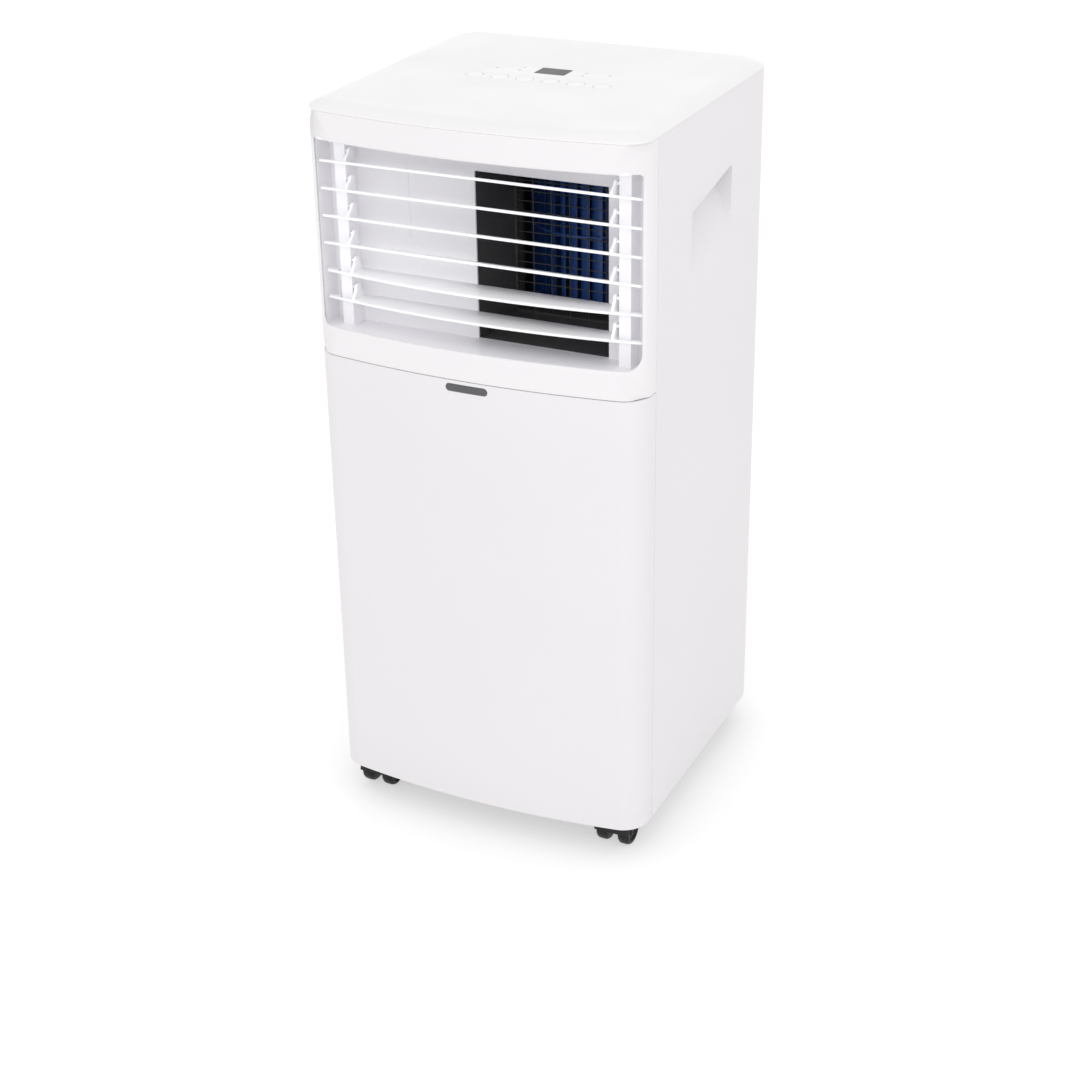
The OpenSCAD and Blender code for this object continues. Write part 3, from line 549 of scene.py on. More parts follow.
def window_paths():
    """The window outline in four runs: bottom, right, top and left."""
    lo, hi = 12.0, 4.0
    x, z0, z1 = OPEN_HALF, OPEN_Z0, OPEN_Z1
    xs = [-130 + 5 * i for i in range(53)]
    bottom = arc(-x + lo, z0 + lo, lo, 225, 270, 10) + [(v, z0) for v in xs]
    bottom += arc(x - lo, z0 + lo, lo, -90, -45, 10)
    right = arc(x - lo, z0 + lo, lo, -45, 0, 10) + [(x, z0 + lo + 10 * i) for i in range(1, 15)]
    right += arc(x - hi, z1 - hi, hi, 0, 45, 6)
    top = arc(x - hi, z1 - hi, hi, 45, 90, 6) + [(-v, z1) for v in xs]
    top += arc(-x + hi, z1 - hi, hi, 90, 135, 6)
    left = arc(-x + hi, z1 - hi, hi, 135, 180, 6) + [(-x, z1 - 17 - 10 * i) for i in range(14)]
    left += arc(-x + lo, z0 + lo, lo, 180, 225, 10)
    return bottom, right, top, left


def window_sections():
    """Points of the window outline, each with the frame edge point that it faces."""
    corners = [(-S_SEAM, FRAME_Z), (S_SEAM, FRAME_Z), (S_SEAM, UNDER_LID), (-S_SEAM, UNDER_LID)]
    runs = []
    for path, a, b in zip(window_paths(), corners, corners[1:] + corners[:1]):
        pts = [(s_of_x(px), pz) for px, pz in path]
        acc = [0.0]
        for p, r in zip(pts, pts[1:]):
            acc.append(acc[-1] + hypot(r[0] - p[0], r[1] - p[1]))
        for p, t in list(zip(pts, acc))[:-1]:
            f = t / acc[-1]
            runs.append((p, (a[0] + f * (b[0] - a[0]), a[1] + f * (b[1] - a[1]))))
    return runs


def outlet_frame():
    """Surround of the outlet: rolled in round the window, softened along its outer edge."""
    r, rim = 0.3, 2.0
    rows = []
    for (s0, z0), (s1, z1) in window_sections():
        length = hypot(s1 - s0, z1 - z0)
        marks = [e * rim for e in (0, 0.1, 0.3, 0.6, 1)]
        marks += [rim + (length - rim - r) * k / 7 for k in range(1, 7)]
        marks += [length - e * r for e in (1, 0.65, 0.35, 0.12, 0)]
        row = []
        for e in marks:
            d = max(fillet_depth(rim - e, rim), fillet_depth(r - (length - e), r))
            f = e / length
            row.append(edge(s0 + f * (s1 - s0), d) + (z0 + f * (z1 - z0),))
        for e in (length, length * 0.66, length * 0.33, 0.0):
            f = e / length
            row.append(edge(s0 + f * (s1 - s0), WALL) + (z0 + f * (z1 - z0),))
        rows.append(row)
    verts, faces = sections(rows, close=False)
    m = len(rows[0])
    faces += band(range(len(verts) - m, len(verts)), range(m))
    o = build("outlet_surround", verts, faces)
    finish_piece(o, "outlet_frame", SURROUND_LIT)


def front_cover():
    r = 0.45
    ends = (-S_SEAM, S_SEAM, SKIRT, PANEL_TOP)
    ss = border(-S_SEAM, S_SEAM, r, stations(-S_SEAM, S_SEAM))
    zs = border(SKIRT, PANEL_TOP, r, [SKIRT + (PANEL_TOP - SKIRT) * i / 8 for i in range(1, 8)])
    o = build("front_cover", *wall_mesh(ss, zs, ends, r))
    finish_piece(o, "front_panel", WHITE)


# Side grip: middle, half width and half height, slope, depth, and the patch of the side's
# grid that holds it, as two y and two z values.
GRIP_Y, GRIP_Z, GRIP_W, GRIP_H, SLOPE, GRIP_DEPTH = 9.5, 587.5, 48.0, 27.0, radians(10.7), 21.0
GRIP_PATCH = (-55.0, 75.0, 545.0, 630.0)


def grip_point(a, b):
    """(y, z) of the grip outline's frame: a along it, b up it, each from -1 to 1."""
    y = GRIP_Y + a * GRIP_W
    return y, GRIP_Z + b * GRIP_H / cos(SLOPE) + a * GRIP_W * tan(SLOPE)


def grip_outline():
    """Rounded parallelogram, anticlockwise from low front."""
    base = rounded(-1, -1, 1, 1, 0.12, 9)
    loop = []
    for (a0, b0), (a1, b1) in zip(base, base[1:] + base[:1]):
        k = max(1, int(hypot((a1 - a0) * GRIP_W, (b1 - b0) * GRIP_H) / 5))
        loop += [(a0 + (a1 - a0) * i / k, b0 + (b1 - b0) * i / k) for i in range(k)]
    return loop


def grip_depth(b):
    """How deep the scoop is: full under its top edge, running out at the bottom."""
    ramp = max(0.0, min(1.0, (b + 1) / 2 / 0.86))
    return GRIP_DEPTH * ramp ** 1.15


def pushed_out(p, by):
    """Point (y, z) moved away from the middle of the grip."""
    y, z = p[0] - GRIP_Y, p[1] - GRIP_Z
    return p[0] + y / hypot(y, z) * by, p[1] + z / hypot(y, z) * by


def with_patch(values, a, b, n):
    """The values outside a to b, with a to b cut into n equal steps."""
    kept = [v for v in values if not a + 0.01 < v < b - 0.01]
    return sorted({round(v, 4) for v in kept + [a + (b - a) * i / n for i in range(n + 1)]})


def side_skin():
    """Right-hand side panel with its scooped grip; the left one is its mirror image."""
    s0, s1, r = S_SEAM + 0.5, S4 - 0.3, 0.35
    ya, yb, za, zb = GRIP_PATCH
    sa, sb = S2 + ya - CY, S2 + yb - CY
    ss = with_patch(border(s0, s1, r, sorted(set(stations(s0, s1) + [sa, sb]))), sa, sb, 13)
    zs = border(SKIRT, UNDER_LID, r, [60 + 48 * i for i in range(10)] + [660])
    zs = with_patch(zs, za, zb, 8)
    gap = (ss.index(round(sa, 4)), ss.index(round(sb, 4)), zs.index(za), zs.index(zb))
    verts, faces = wall_mesh(ss, zs, (s0, s1, SKIRT, UNDER_LID), r, gap)
    add_grip(verts, faces, grid_ring(*gap, len(zs)), len(ss) * len(zs))
    return verts, faces


def add_grip(verts, faces, patch, off):
    """Closes the open patch of both skins round the grip's lip, and adds the scoop.

    patch has the outer skin's vertices round it; the inner skin's are off further on.
    """
    loop = grip_outline()
    lip = [pushed_out(grip_point(a, b), 1.6) for a, b in loop]
    tris = triangles([verts[v][1:] for v in patch], [lip])[1]
    k, g = len(verts), len(lip)
    for inner in (0, 1):
        verts += [(HALF - inner * WALL, y, z) for y, z in lip]
    for inner in (0, 1):
        ids = [v + inner * off for v in patch] + list(range(k + inner * g, k + inner * g + g))
        faces += [tuple(ids[v] for v in (reversed(f) if inner else f)) for f in tris]
    scoop(verts, faces, loop, range(k, k + g), 0.0)
    scoop(verts, faces, loop, range(k + g, k + 2 * g), 2.0)


def scoop(verts, faces, loop, start, thick):
    """Adds the scoop's skin, from its lip inwards, thick behind the outer face."""
    rings = [start]
    for k, f in enumerate((1.0, 0.985, 0.965, 0.93, 0.86, 0.74, 0.58, 0.4, 0.2)):
        wall = min(1.0, (k + 0.35) / 2.3)
        soft = wall * wall * (3 - 2 * wall)
        rings.append(range(len(verts), len(verts) + len(loop)))
        for a, b in loop:
            d = grip_depth(b * f) * soft
            verts.append((HALF - (d if k else min(d, 0.5)) - thick,) + grip_point(a * f, b * f))
    for r0, r1 in zip(rings, rings[1:]):
        faces += band(r0, r1)
    faces += [(a, b, len(verts)) for a, b, _, _ in band(rings[-1], rings[-1])]
    verts.append((HALF - grip_depth(0) - thick,) + grip_point(0, 0))


def side_covers():
    part = side_skin()
    for name, p in (("right", part), ("left", mirrored(part))):
        o = build(f"side_cover_{name}", *p, 38)
        finish_piece(o, f"side_panel_{name}", WHITE)


# ---- top cover and keys
KEY_X = [-62.5 + 25 * k for k in range(6)]
KEY_NAMES = ["power", "mode", "speed", "timer", "down", "up"]
KEY_Y, KEY_R = -8.0, 8.0
DISPLAY = (-15.0, 15.0, 15.0, 37.0)
LAMPS = [(-54, 21), (-31, 20.5), (-31, 30.5), (31, 20.5), (31, 30.5), (54, 30)]
SHOULDER_W, SHOULDER_H = 21.0, 6.0
# Inset of the flat top, height of its underside, rounding of the edges of its holes.
LID_FLAT, LID_UNDER, LIP = 23, TOP - 2.5, 0.3


def display_outline(g, r):
    """Outline of the display, grown by g, with corner radius r."""
    x0, y0, x1, y1 = DISPLAY
    return rounded(x0 - g, y0 - g, x1 + g, y1 + g, r, 5)


def lid_holes(g):
    """Outlines of the lid's holes for the keys, display and lamps, grown by g."""
    out = [circle(x, KEY_Y, KEY_R + 0.35 + g, 48) for x in KEY_X] + [display_outline(g, 1.2 + g)]
    return out + [circle(x, y, 1.5 + g, 20) for x, y in LAMPS]


def shoulder_z(i):
    """Height of the lid's rounded shoulder, i inside its edge."""
    r = (SHOULDER_W**2 + SHOULDER_H**2) / (2 * SHOULDER_H)
    q = max(SHOULDER_W - i, 0.0)
    return TOP - (r - sqrt(r * r - q * q))


def lid_profile():
    """(inset, height) pairs up the lid's edge and over its shoulder to the flat top."""
    prof = [(0.2, LID_Z), (0.08, LID_Z + 0.04), (0.02, LID_Z + 0.1), (0.0, LID_Z + 0.2)]
    prof += [(0.04, shoulder_z(0) - 0.05), (0.2, shoulder_z(0.3)), (0.6, shoulder_z(0.7))]
    insets = (1.2, 2, 3, 4.5, 6, 8, 10, 12, 14, 16, 18, 19.5, SHOULDER_W, LID_FLAT)
    return prof + [(i, shoulder_z(i)) for i in insets]


def hole_wall(verts, faces, start, big, small):
    """Rounds a hole's edge from its big outline to the small one, and walls it down."""
    m = len(big)
    rings = [range(start, start + m)]
    levels = [(sin(f * pi / 2), TOP - LIP * (1 - cos(f * pi / 2))) for f in (0.35, 0.7, 1.0)]
    for q, z in levels + [(1.0, LID_UNDER)]:
        rings.append(range(len(verts), len(verts) + m))
        verts += [(a[0] + (b[0] - a[0]) * q, a[1] + (b[1] - a[1]) * q, z)
                  for a, b in zip(big, small)]
    for r0, r1 in zip(rings, rings[1:]):
        faces += band(r0, r1)
    return list(rings[-1])


def top_cover():
    """Lid: rounded shoulder, flat top with its holes, flat underside and a rim down to LID_Z."""
    around = stations(-S5, S5)[:-1]
    n = len(around)
    verts, faces, rings = [], [], []

    def ring(inset, z):
        verts.extend(edge(s, inset) + (z,) for s in around)
        return list(range(len(verts) - n, len(verts)))

    for inset, z in lid_profile():
        rings.append(ring(inset, z))
    for r0, r1 in zip(rings, rings[1:]):
        faces += band(r0, r1)
    rim = [v[:2] for v in verts[-n:]]
    pts, tris = triangles(rim, lid_holes(LIP))
    start = len(verts)
    verts += [(x, y, TOP) for x, y in pts[n:]]
    flat = rings[-1] + list(range(start, len(verts)))
    faces += [tuple(flat[v] for v in t) for t in tris]
    walls = []
    for big, small in zip(lid_holes(LIP), lid_holes(0)):
        walls += hole_wall(verts, faces, start, big, small)
        start += len(big)
    low, foot = ring(LID_FLAT, LID_UNDER), ring(LID_FLAT, LID_Z)
    flat = low + walls
    tris = triangles(rim, lid_holes(0))[1]
    faces += [tuple(flat[v] for v in reversed(t)) for t in tris]
    faces += band(low, foot) + band(foot, rings[0])
    o = build("top_cover_skin", verts, faces)
    finish_piece(o, "top_cover", LID_LIT)


def keys():
    prof = [(0.0, -0.35), (3.0, -0.31), (5.2, -0.2), (6.6, -0.06), (7.3, 0.0), (7.7, -0.06),
            (7.93, -0.25), (8.0, -0.55), (8.0, -3.0), (9.3, -3.1), (9.35, -4.2), (1.9, -4.4),
            (1.8, -10.0), (0.0, -10.0)]
    for x, name in zip(KEY_X, KEY_NAMES):
        o = build(f"{name}_button", *lathe(prof, (x, KEY_Y, TOP)))
        finish_piece(o, f"key_{name}", KEYW, f"{name}_key")


def display():
    o = build("display_glass", *prism(display_outline(-0.15, 1.1), [], TOP - 1.6, TOP - 0.15))
    bevel(flatten(o), 0.25, 3)
    finish_piece(o, "display_window", SCREEN)
    prof = [(0.0, 0.0), (0.7, -0.04), (1.2, -0.16), (1.42, -0.4), (1.42, -2.4), (0.0, -2.4)]
    parts = [lathe(prof, (x, y, TOP), "z", 20) for x, y in LAMPS]
    o = join("lamp_lenses", parts)
    finish_piece(o, "indicator_lenses", LENS)


def badge():
    """Plain bar with no lettering."""
    lo, hi = span("badge")
    zc, hh, xh = (lo[2] + hi[2]) / 2, (hi[2] - lo[2]) / 2, hi[0]
    rows = []
    for i in range(41):
        x = -xh + 2 * xh * i / 40
        h = sqrt(max(hh * hh - max(abs(x) - (xh - hh), 0) ** 2, 0.02))
        s = s_of_x(x)
        row = []
        for u in (-1, -0.97, -0.88, -0.6, -0.2, 0.2, 0.6, 0.88, 0.97, 1):
            rise = 0.55 * (1 - abs(u) ** 8) * min(1.0, h / 2.0)
            row.append(edge(s, -rise) + (zc + u * h,))
        row += [edge(s, 0.6) + (zc + h * u,) for u in (1, -1)]
        rows.append(row)
    o = build("badge_bar", *sections(rows), 50)
    finish_piece(o, "badge", BADGE)


# ---- louvres
# Pins of the top blade, pitch of the blades, drop from pin to blade, and tilts in degrees.
PIVOT_Y, PIVOT_Z, PITCH, DROP = -125.0, 652.8, 25.1, 11.0
TILTS = [18.5] * 4 + [1.5] * 2
BLADE_T = 2.6


def blade_front(x):
    """Place of the blade's bowed front edge along its depth, from its pins."""
    r = 822.0
    return r - 20.2 - sqrt(r * r - x * x)


def blade_stations():
    """(x, back edge) pairs from the middle to the end, with rounded notch corners."""
    out = [(x, 12.0) for x in range(0, 127, 9)]
    out += arc(127.3, 10.0, 2.0, 90, 4) + arc(130.9, -3.6, 1.6, 182, 270)
    out += [(137.0, -5.2)] + arc(142.0, -3.6, 1.6, 270, 358) + arc(145.2, 0.4, 1.6, 176, 90)
    return out + [(150.0, 2.0)] + arc(153.4, 0.4, 1.6, 90, 10)


def blade_mesh():
    """One blade in its own level frame: x, s along the blade's depth, n up."""
    half = BLADE_T / 2
    st = blade_stations()
    st = [(-x, s) for x, s in reversed(st[1:])] + st
    rows = []
    for x, back in st:
        f = blade_front(x)
        if abs(x) > 153.3:
            f += 1.6 - sqrt(max(1.6**2 - (abs(x) - 153.4) ** 2, 0.01))
        row = []
        for i in range(9):
            a = pi / 2 + pi * i / 8
            row.append((x, f + half + half * cos(a), -DROP + half * sin(a)))
        row.append((x, f + (back - f) * 0.5, -DROP - half))
        for i in range(5):
            a = -pi / 2 + pi * i / 4
            row.append((x, back - 0.8 + 0.8 * cos(a), -DROP + half * sin(a) * 0.8))
        row.append((x, f + (back - f) * 0.5, -DROP + half))
        rows.append(row)
    return sections(rows)


def lug_mesh():
    """Rounded hanger: a boss round the pin that widens where it meets the blade."""
    pts = arc(0, 0, 3.4, 0, 180, 12)
    pts += [(-4.0, -2.2), (-5.6, -4.6), (-7.6, -7.2), (-8.4, -9.4), (-8.4, -10.4), (8.4, -10.4),
            (8.4, -9.4), (7.4, -6.6), (5.4, -4.2), (3.9, -2.0)]
    return prism(pts, [], 125.8, 128.4, "x")


def louvres():
    blade, lug = blade_mesh(), lug_mesh()
    pin = lathe([(0, 127.5), (1.6, 127.5), (1.6, 133.6), (1.3, 134), (0, 134)], (0, 0, 0), "x", 16)
    for k, tilt in enumerate(TILTS):
        parts = []
        c, s = cos(radians(tilt)), sin(radians(tilt))
        zc = PIVOT_Z - PITCH * k
        for v, f in (blade, lug, mirrored(lug), pin, mirrored(pin)):
            parts.append(([(x, PIVOT_Y + y * c + z * s, zc - y * s + z * c) for x, y, z in v], f))
        o = join(f"blade_{k + 1}", parts, 38)
        bevel(o, 0.35, 2, 50)
        finish_piece(o, f"louvre_blade_{k + 1}", BLADEW, f"louvre_{k + 1}")


# ---- inside the outlet
def guard():
    lo, hi = span("guard_grid")
    y = (lo[1] + hi[1]) / 2
    w, h = hi[0] - lo[0], hi[2] - lo[2]
    parts = []
    for k in range(1, 7):
        x = lo[0] + k * w / 7
        parts.append(tube((x, y - 0.3, lo[2] + 1), (x, y - 0.3, hi[2] - 1), 0.6))
    for k in range(1, 16):
        z = lo[2] + k * h / 16
        parts.append(tube((lo[0] + 1, y + 0.7, z), (hi[0] - 1, y + 0.7, z), 0.5))
    parts.append(rim_prism(lo, hi, 2.2, (3, 1.5), 4, lo[1], hi[1]))
    o = join("outlet_guard", parts)
    finish_piece(o, "guard_grid", GUARD)


def wheel():
    lo, hi = span("blower_wheel")
    cx, cy, _ = centre("blower_wheel")
    r = (hi[0] - lo[0]) / 2
    z0, z1 = lo[2], hi[2] - 3
    mid, parts, count = (z0 + z1) / 2, [], 34
    for i in range(count):
        a0 = 2 * pi * i / count
        inner, outer = [], []
        for k in range(7):
            f = k / 6
            rad = r - 13 + 12.6 * f
            ang = a0 + 0.20 * f * f - 0.02 * f
            t = 0.75 * sin(pi * min(max(f, 0.12), 0.9)) / rad
            inner.append((cx + rad * cos(ang - t), cy + rad * sin(ang - t)))
            outer.append((cx + rad * cos(ang + t), cy + rad * sin(ang + t)))
        loop = inner + outer[::-1]
        parts.append(sections([[(x, y, z) for x, y in loop] for z in (z0 + 2, mid, z1 - 2)]))
    parts.append(lathe([(r - 14, 0.6), (r - 13.4, 0), (r - 0.6, 0), (r, 0.6), (r, 2), (r - 0.5, 2.5),
                        (r - 14, 2.5)], (cx, cy, z0), "z", 96, closed=True))
    parts.append(lathe([(r - 1.5, -1), (r, -0.6), (r, 0.6), (r - 1.5, 1)], (cx, cy, mid), "z", 96,
                       closed=True))
    parts.append(lathe([(4, -19), (9.4, -19), (10, -18), (10, -2.5), (20, -2.0), (r - 0.6, -2.5),
                        (r, -1.9), (r, -0.6), (r - 0.6, 0), (12, 0), (10, 3), (4, 3)],
                       (cx, cy, z1), "z", 96, closed=True))
    o = join("blower_rotor_wheel", parts)
    finish_piece(o, "blower_wheel", BLUE, "blower_rotor")


# ---- back
def rear_cover():
    holes = []
    for node, gap in (("filter_cover", 0.5), ("condenser_grille", 0.1)):
        lo, hi = span(node)
        holes.append(rounded(lo[0] - gap, lo[2] - gap, hi[0] + gap, hi[2] + gap, 4, 5))
    holes.append(circle(0, centre("exhaust_collar")[2], 73, 96))
    holes.append(circle(centre("cord_gland")[0], GLAND_Z, 8, 32))
    for node in ("drain_plug_upper", "drain_plug_lower"):
        x, _, z = centre(node)
        holes.append(circle(x, z, 8, 32))
    holes += [circle(x, z, 3.4, 20) for x, z in SCREWS]
    lo, hi = span("rear_panel")
    outer = rounded(lo[0], lo[2], hi[0], hi[2], 0.8, 2)
    o = build("rear_cover", *prism(outer, holes, REAR - WALL, REAR, "y"), 35)
    bevel(flatten(o), 0.5, 2, 40)
    finish_piece(o, "rear_panel", WHITE)


def slat(x0, x1, y0, y1, z):
    """One level slat: a rounded bar that leans outwards and down."""
    thick, fall = 2.1, 2.2
    ym, ring = (y0 + y1) / 2, []
    for i in range(12):
        a = 2 * pi * i / 12
        u, v = cos(a), sin(a)
        y = ym + (y1 - y0) / 2 * (abs(u) ** 0.7) * (1 if u > 0 else -1)
        ring.append((y, z + v * thick / 2 - fall * (y - ym) / (y1 - y0)))
    return sections([[(x, y, w) for y, w in ring] for x in (x0, x1)])


def slatted(name, node, body, count, handle):
    """Rectangular frame and its slats, as two pieces; handle adds a finger hole with a back."""
    lo, hi = span(node)
    y0, y1, width = lo[1], hi[1], 8
    parts, cups = [], []
    step = (hi[2] - lo[2] - 2 * width) / (count + 1)
    for k in range(1, count + 1):
        z = lo[2] + width + k * step
        parts.append(slat(lo[0] + 2, hi[0] - 2, y0 + 0.8, y1 - 0.6, z))
    for k in (1, 2):
        x = lo[0] + (hi[0] - lo[0]) * k / 3
        parts.append(tube((x, y0 + 1.6, lo[2] + 2), (x, y0 + 1.6, hi[2] - 2), 1.5, 10))
    if handle:
        cups.append(rounded(-18, hi[2] - 7, 18, hi[2] - 2.4, 2.0, 4))
        back = rounded(-19, hi[2] - 7.8, 19, hi[2] - 1.6, 2.5, 4)
        parts.append(prism(back, [], y0 + 0.4, y1 - 3.2, "y"))
    rim = rim_prism(lo, hi, width, (3.5, 2.5), 5, y0, y1 - 0.1, cups)
    o = build(name + "_frame", *rim, 35)
    bevel(flatten(o), 0.6, 3, 40)
    finish_piece(o, node, WHITE, body)
    o = join(name + "_slats", parts, 45)
    finish_piece(o, node, WHITE, body)


def filter_net():
    lo, hi = span("filter_mesh")
    y, wire, pitch = lo[1] + 1.2, 0.22, 1.8
    parts = []
    for x in spaced(lo[0] + 4.5, hi[0] - 4, pitch):
        parts.append(tube((x, y - 0.1, lo[2] + 3), (x, y - 0.1, hi[2] - 3), wire, 4))
    for z in spaced(lo[2] + 4.5, hi[2] - 4, pitch):
        parts.append(tube((lo[0] + 3, y + 0.1, z), (hi[0] - 3, y + 0.1, z), wire, 4))
    parts.append(rim_prism(lo, hi, 4, (3, 2), 4, lo[1], hi[1]))
    for k in (1, 2, 3):
        x, z = lo[0] + (hi[0] - lo[0]) * k / 4, lo[2] + (hi[2] - lo[2]) * k / 4
        parts.append(tube((x, y, lo[2] + 2), (x, y, hi[2] - 2), 1.0))
        parts.append(tube((lo[0] + 2, y, z), (hi[0] - 2, y, z), 1.0))
    o = join("filter_netting", parts)
    finish_piece(o, "filter_mesh", NET, "filter")


def fin_pack(name, node):
    lo, hi = span(node)
    parts = [box(x, x + 0.25, lo[1], hi[1], lo[2], hi[2])
             for x in spaced(lo[0], hi[0] - 0.3, 1.9)]
    o = join(name, parts, 30)
    finish_piece(o, node, FIN)


def collar():
    y0, y1 = span("exhaust_collar")[0][1], span("exhaust_collar")[1][1]
    cz = centre("exhaust_collar")[2]
    prof = [(68.5, 0.6), (69.0, 0.0), (72.4, 0), (72.9, 0.6), (72.9, 58.4), (81, 58.5),
            (81, 61.4), (72.9, 61.4), (72.9, 63.0), (72.2, 64.0), (70.9, 64.0), (70.0, 63.2),
            (70.0, 39.5), (68.5, 39.3)]
    parts = [lathe(prof, (0, y0, cz), "y", 128, closed=True)]
    for k in range(3):
        a = radians(90 + 120 * k)
        u, v = (cos(a), sin(a)), (-sin(a), cos(a))
        lug = []
        for q, w in ((69.9, -9), (66.8, -8), (66.8, 8), (69.9, 9)):
            lug.append((q * u[0] + w * v[0], cz + q * u[1] + w * v[1]))
        parts.append(prism(lug, [], y1 - 7, y1 - 3.5, "y"))
    o = join("hose_collar", parts)
    bevel(o, 0.3, 2, 50)
    finish_piece(o, "exhaust_collar", INNER)


def exhaust_guard():
    lo, hi = span("exhaust_guard")
    _, ym, cz = centre("exhaust_guard")
    r, h = (hi[0] - lo[0]) / 2, (hi[1] - lo[1]) / 2
    parts = [lathe([(r - 2.4, -h), (r, -h), (r, h), (r - 0.6, h), (r - 2.0, h * 0.5),
                    (r - 2.4, 0)], (0, ym, cz), "y", 96, closed=True)]
    for q in (27.5, 41, 54.5):
        ring = [(q + 0.95 * cos(a), 1.1 * sin(a)) for a in [2 * pi * k / 10 for k in range(10)]]
        parts.append(lathe(ring, (0, ym, cz), "y", 72, closed=True))
    parts.append(lathe([(0, -1), (13.4, -1), (14, -0.4), (14, 0.4), (13, 1.0), (5, 1.2), (0, 1.2)],
                       (0, ym, cz), "y", 40))
    for k in range(6):
        a = 2 * pi * k / 6
        ends = [(q * cos(a), ym, cz + q * sin(a)) for q in (12.5, r - 1.0)]
        parts.append(tube(*ends, 0.9))
    o = join("duct_guard", parts)
    finish_piece(o, "exhaust_guard", BLACK)


def fan_blade(c, turn):
    """One swept blade of the exhaust fan, from its hub out."""
    rows, hub, tip = [], 18.5, 65.5
    for i in range(9):
        rad, chord = hub + (tip - hub) * i / 8, 0.34 + 0.02 * i
        top, low = [], []
        for j in range(13):
            f = j / 12
            y = c[1] + 13 + (f - 0.5) * 19 + 2.2 * sin(pi * f)
            t = 0.9 * sin(pi * min(max(f, 0.08), 0.92)) + 0.2
            a = turn + 0.25 * (i / 8) ** 1.5 + (f - 0.5) * chord * 2
            top.append((rad * cos(a), y + t, c[2] + rad * sin(a)))
            low.append((rad * cos(a), y - t, c[2] + rad * sin(a)))
        rows.append(top + low[::-1])
    return sections(rows)


def exhaust_fan():
    c = (0, REAR - 60, centre("exhaust_collar")[2])
    hub = [(0, 27.5), (8, 27.2), (15, 25.6), (19, 22), (20, 18), (20, 1), (19, 0), (0, 0)]
    shaft = [(0, 1), (3, 1), (3, -29), (2.4, -30), (0, -30)]
    parts = [lathe(hub, c, "y", 48), lathe(shaft, c, "y", 16)]
    parts += [fan_blade(c, 2 * pi * k / 7) for k in range(7)]
    o = join("exhaust_impeller", parts)
    finish_piece(o, "exhaust_fan", BLACK, "exhaust_rotor")


def rear_face(node):
    """Middle of the node's rear face."""
    x, _, z = centre(node)
    return x, span(node)[1][1], z


def gland_and_plugs():
    prof = [(4, -7), (11, -7), (11, -2.7), (7.9, -2.6), (7.9, -1.0), (7.4, -0.2), (6.6, 0),
            (5.2, -0.1), (4.3, -0.6), (4.0, -1.4)]
    o = build("cord_bushing", *lathe(prof, rear_face("cord_gland"), "y", 40, closed=True))
    finish_piece(o, "cord_gland", RUBBER)
    prof = [(0, -9), (4.0, -9), (4.6, -8.2), (4.4, -6.5), (4.6, -5), (4.6, -2.1), (7.5, -2.1),
            (7.6, -1.4), (7.2, -0.4), (6.4, -0.05), (4.8, -0.35), (3.4, -0.9), (0, -1.0)]
    for which in ("upper", "lower"):
        x, y, z = rear_face(f"drain_plug_{which}")
        grip = rounded(x - 3.6, z - 0.9, x + 3.6, z + 0.9, 0.85, 4)
        parts = [lathe(prof, (x, y, z), "y", 40), prism(grip, [], y - 1.3, y - 0.05, "y")]
        o = join(f"{which}_stopper", parts)
        finish_piece(o, f"drain_plug_{which}", RUBBER, f"{which}_plug")


def screws():
    head = [(0, -1.5), (3.0, -1.5), (3.35, -1.2), (3.3, -0.7), (2.6, -0.3), (1.6, -0.2),
            (1.4, -0.2), (0, -0.2)]
    shank = [(0, -8), (0.9, -8), (1.5, -7), (1.5, -1.5), (0, -1.5)]
    parts = []
    for x, z in SCREWS:
        parts += [lathe(head, (x, REAR, z), "y", 24), lathe(shank, (x, REAR, z), "y", 16)]
        for a, b in ((2.0, 0.35), (0.35, 2.0)):
            parts.append(box(x - a, x + a, REAR - 0.9, REAR - 0.17, z - b, z + b))
    o = join("cover_screws", parts)
    finish_piece(o, "rear_screws", STEEL)


# ---- casters
TRAIL = 8.0


def casters():
    for corner in ("front_left", "front_right", "rear_left", "rear_right"):
        lo, hi = span(f"wheels_{corner}")
        cx, cy, cz = centre(f"wheels_{corner}")
        g = -1 if "front" in corner else 1
        r = (hi[1] - lo[1]) / 2
        prof = [(3.4, 5.3), (r - 3.2, 5.3), (r - 1.4, 5.8), (r - 0.25, 7.2), (r, 9.4), (r, 12.6),
                (r - 0.3, 14.8), (r - 1.2, 16.3), (r - 2.6, 17.0), (r - 3.6, 17.0), (r - 4.2, 16.5),
                (r - 4.6, 15.4), (6.6, 15.1), (5.6, 15.5), (5.2, 16.6), (4.4, 16.9), (3.4, 16.9)]
        part = lathe(prof, (cx, cy, cz), "x", 64, closed=True)
        other = [(2 * cx - x, y, z) for x, y, z in part[0]], part[1]
        o = join(f"twin_wheels_{corner}", [part, other])
        finish_piece(o, f"wheels_{corner}", TREAD, f"{corner}_wheels")
        sy = cy - g * TRAIL
        parts = [lathe([(0, 61), (3.4, 61), (4, 60.2), (4, 45), (12.2, 44.8), (13, 44), (13, 42.6),
                        (12.4, 42), (7.6, 41.4), (5.8, 38), (5.6, 31.5), (4.4, 29.5), (0, 29.5)],
                       (cx, sy, 0), "z", 40)]
        parts.append(hood(cx, cy, cz, r, g))
        parts.append(web(cx, cy, cz, r, g))
        parts.append(lathe([(0, -16.4), (2.6, -16.4), (3, -16), (3, 16), (2.6, 16.4), (0, 16.4)],
                           (cx, cy, cz), "x", 20))
        o = join(f"caster_hood_{corner}", parts)
        bevel(o, 0.3, 2, 50)
        finish_piece(o, f"caster_{corner}", CASTER, f"{corner}_caster")


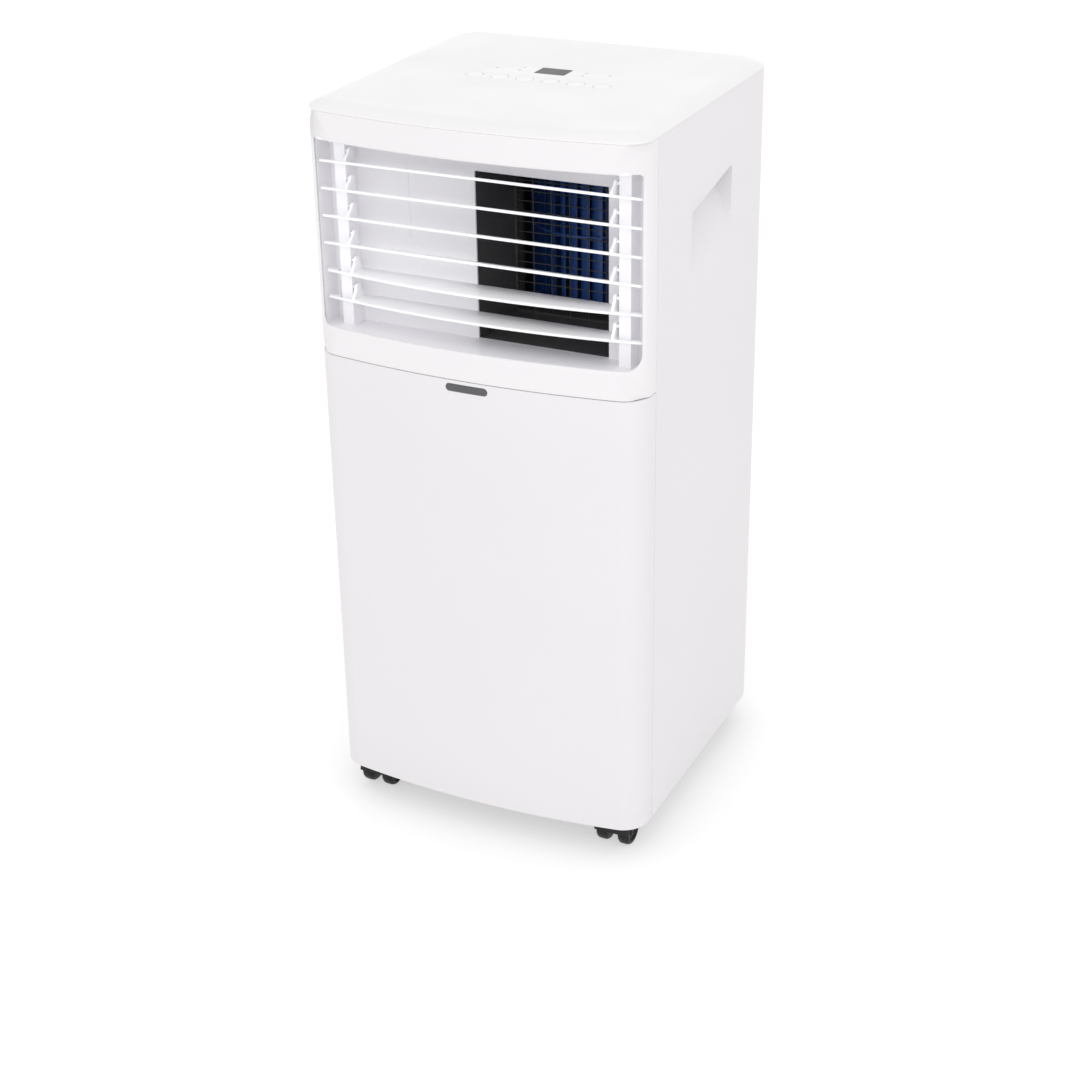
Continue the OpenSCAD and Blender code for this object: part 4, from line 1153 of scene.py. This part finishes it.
def hood(cx, cy, cz, r, g):
    """Curved cover over the upper half of both wheels, open where they trail."""
    rows = []
    for i in range(25):
        a = radians(34 + 138 * i / 24)
        d = (-g * cos(a), sin(a))
        ring = []
        for x, q in ((-17.5, 1.0), (-17.5, 1.7), (-16.6, 2.3), (-8, 2.5), (8, 2.5), (16.6, 2.3),
                     (17.5, 1.7), (17.5, 1.0), (8, 0.9), (-8, 0.9)):
            ring.append((cx + x, cy + (r + q) * d[0], cz + (r + q) * d[1]))
        rows.append(ring)
    return sections(rows)


def web(cx, cy, cz, r, g):
    """Middle web that carries the axle and joins the hood to the stem."""
    pts = arc(0, 0, 6.0, 180, 360, 12) + arc(0, 0, r + 2.3, 8, 112, 13) + [(-6.0, r - 1.2)]
    pts = [(cy - g * y, cz + z) for y, z in pts]
    return prism(pts if g < 0 else pts[::-1], [], cx - 4.3, cx + 4.3, "x")


# ---- kept CAD nodes
def repaint():
    """Materials and softened edges for the nodes that stay as the frame made them."""
    kept = {"outlet_liner": (INNER, 0.8), "blower_scroll": (DUCT, 0.6), "blower_shaft": (STEEL, 0.3),
            "blower_motor": (MOTOR, 0.6), "control_tray": (WHITE, 0.4), "control_board": (BOARD, 0.2),
            "exhaust_motor": (MOTOR, 0.6), "base_pan": (BASE, 0.5), "drip_deck": (BASE, 0.5),
            "evaporator_tubes": (COPPER, 0), "condenser_tubes": (COPPER, 0),
            "refrigerant_pipes": (COPPER, 0), "compressor": (ENAMEL, 0.6),
            "compressor_mounts": (RUBBER, 0.4)}
    for n, (mat, w) in kept.items():
        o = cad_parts[n]
        o.data.materials.clear()
        o.data.materials.append(mat)
        if w:
            bevel(o, w, 2, 40)


# ---- studio
def studio():
    sc = bpy.context.scene
    sc.view_settings.view_transform = "Standard"
    world = bpy.data.worlds.new("studio")
    sc.world = world
    world.use_nodes = True
    bg = world.node_tree.nodes["Background"]
    bg.inputs["Color"].default_value = (1, 1, 1, 1)
    bg.inputs["Strength"].default_value = 1.0
    me = bpy.data.meshes.new("studio_floor")
    me.from_pydata([(-9, -9, 0), (9, -9, 0), (9, 9, 0), (-9, 9, 0)], [], [(0, 1, 2, 3)])
    fl = bpy.data.objects.new("studio_floor", me)
    sc.collection.objects.link(fl)
    pale = surface("floor_pale", (0.5, 0.5, 0.5), 0.6, spec=0.1, tone=0.003, smudge=0.03,
                   grain=0.0, glow=0.5)
    fl.data.materials.append(pale)
    lamps = (("front", (0.7, -2.3, 1.6), 15, 2.0), ("side", (2.7, -0.9, 2.0), 5.5, 2.0),
             ("top", (-0.9, -1.6, 3.0), 1, 2.2), ("back", (-1.2, 3.2, 1.2), 8, 2.4))
    for name, loc, power, size in lamps:
        li = bpy.data.lights.new(name, "AREA")
        li.energy, li.shape, li.size = power, "SQUARE", size
        lo = bpy.data.objects.new(name, li)
        lo.location = loc
        aim = Vector((0, 0, 0.45)) - Vector(loc)
        lo.rotation_euler = aim.to_track_quat("-Z", "Y").to_euler()
        sc.collection.objects.link(lo)


def camera():
    """Camera fitted to the housing's edges in the photograph; lengths in metres."""
    az, el, roll = radians(25.729), radians(26.315), radians(-0.953)
    target, distance = Vector((-0.0088, 0, 0.239)), 2.0636
    back = Vector((sin(az) * cos(el), -cos(az) * cos(el), sin(el)))
    right = Vector((cos(az), sin(az), 0))
    up = back.cross(right)
    cam = bpy.data.cameras.new("camera")
    cam.sensor_width, cam.lens = 36, 69.43
    cam.clip_start, cam.clip_end = 0.05, 60
    turned = (right * cos(roll) + up * sin(roll), up * cos(roll) - right * sin(roll), back)
    pose = Matrix(turned).transposed().to_4x4()
    pose.translation = target + back * distance
    o = bpy.data.objects.new("camera", cam)
    o.matrix_world = pose
    bpy.context.scene.collection.objects.link(o)
    bpy.context.scene.camera = o


studio()
camera()
outlet_frame()
front_cover()
side_covers()
top_cover()
keys()
display()
badge()
louvres()
guard()
wheel()
rear_cover()
slatted("filter_lid", "filter_cover", "filter", 20, True)
slatted("lower_grille", "condenser_grille", "housing", 26, False)
filter_net()
fin_pack("evaporator_pack", "evaporator_fins")
fin_pack("condenser_pack", "condenser_fins")
collar()
exhaust_guard()
exhaust_fan()
gland_and_plugs()
screws()
casters()
repaint()
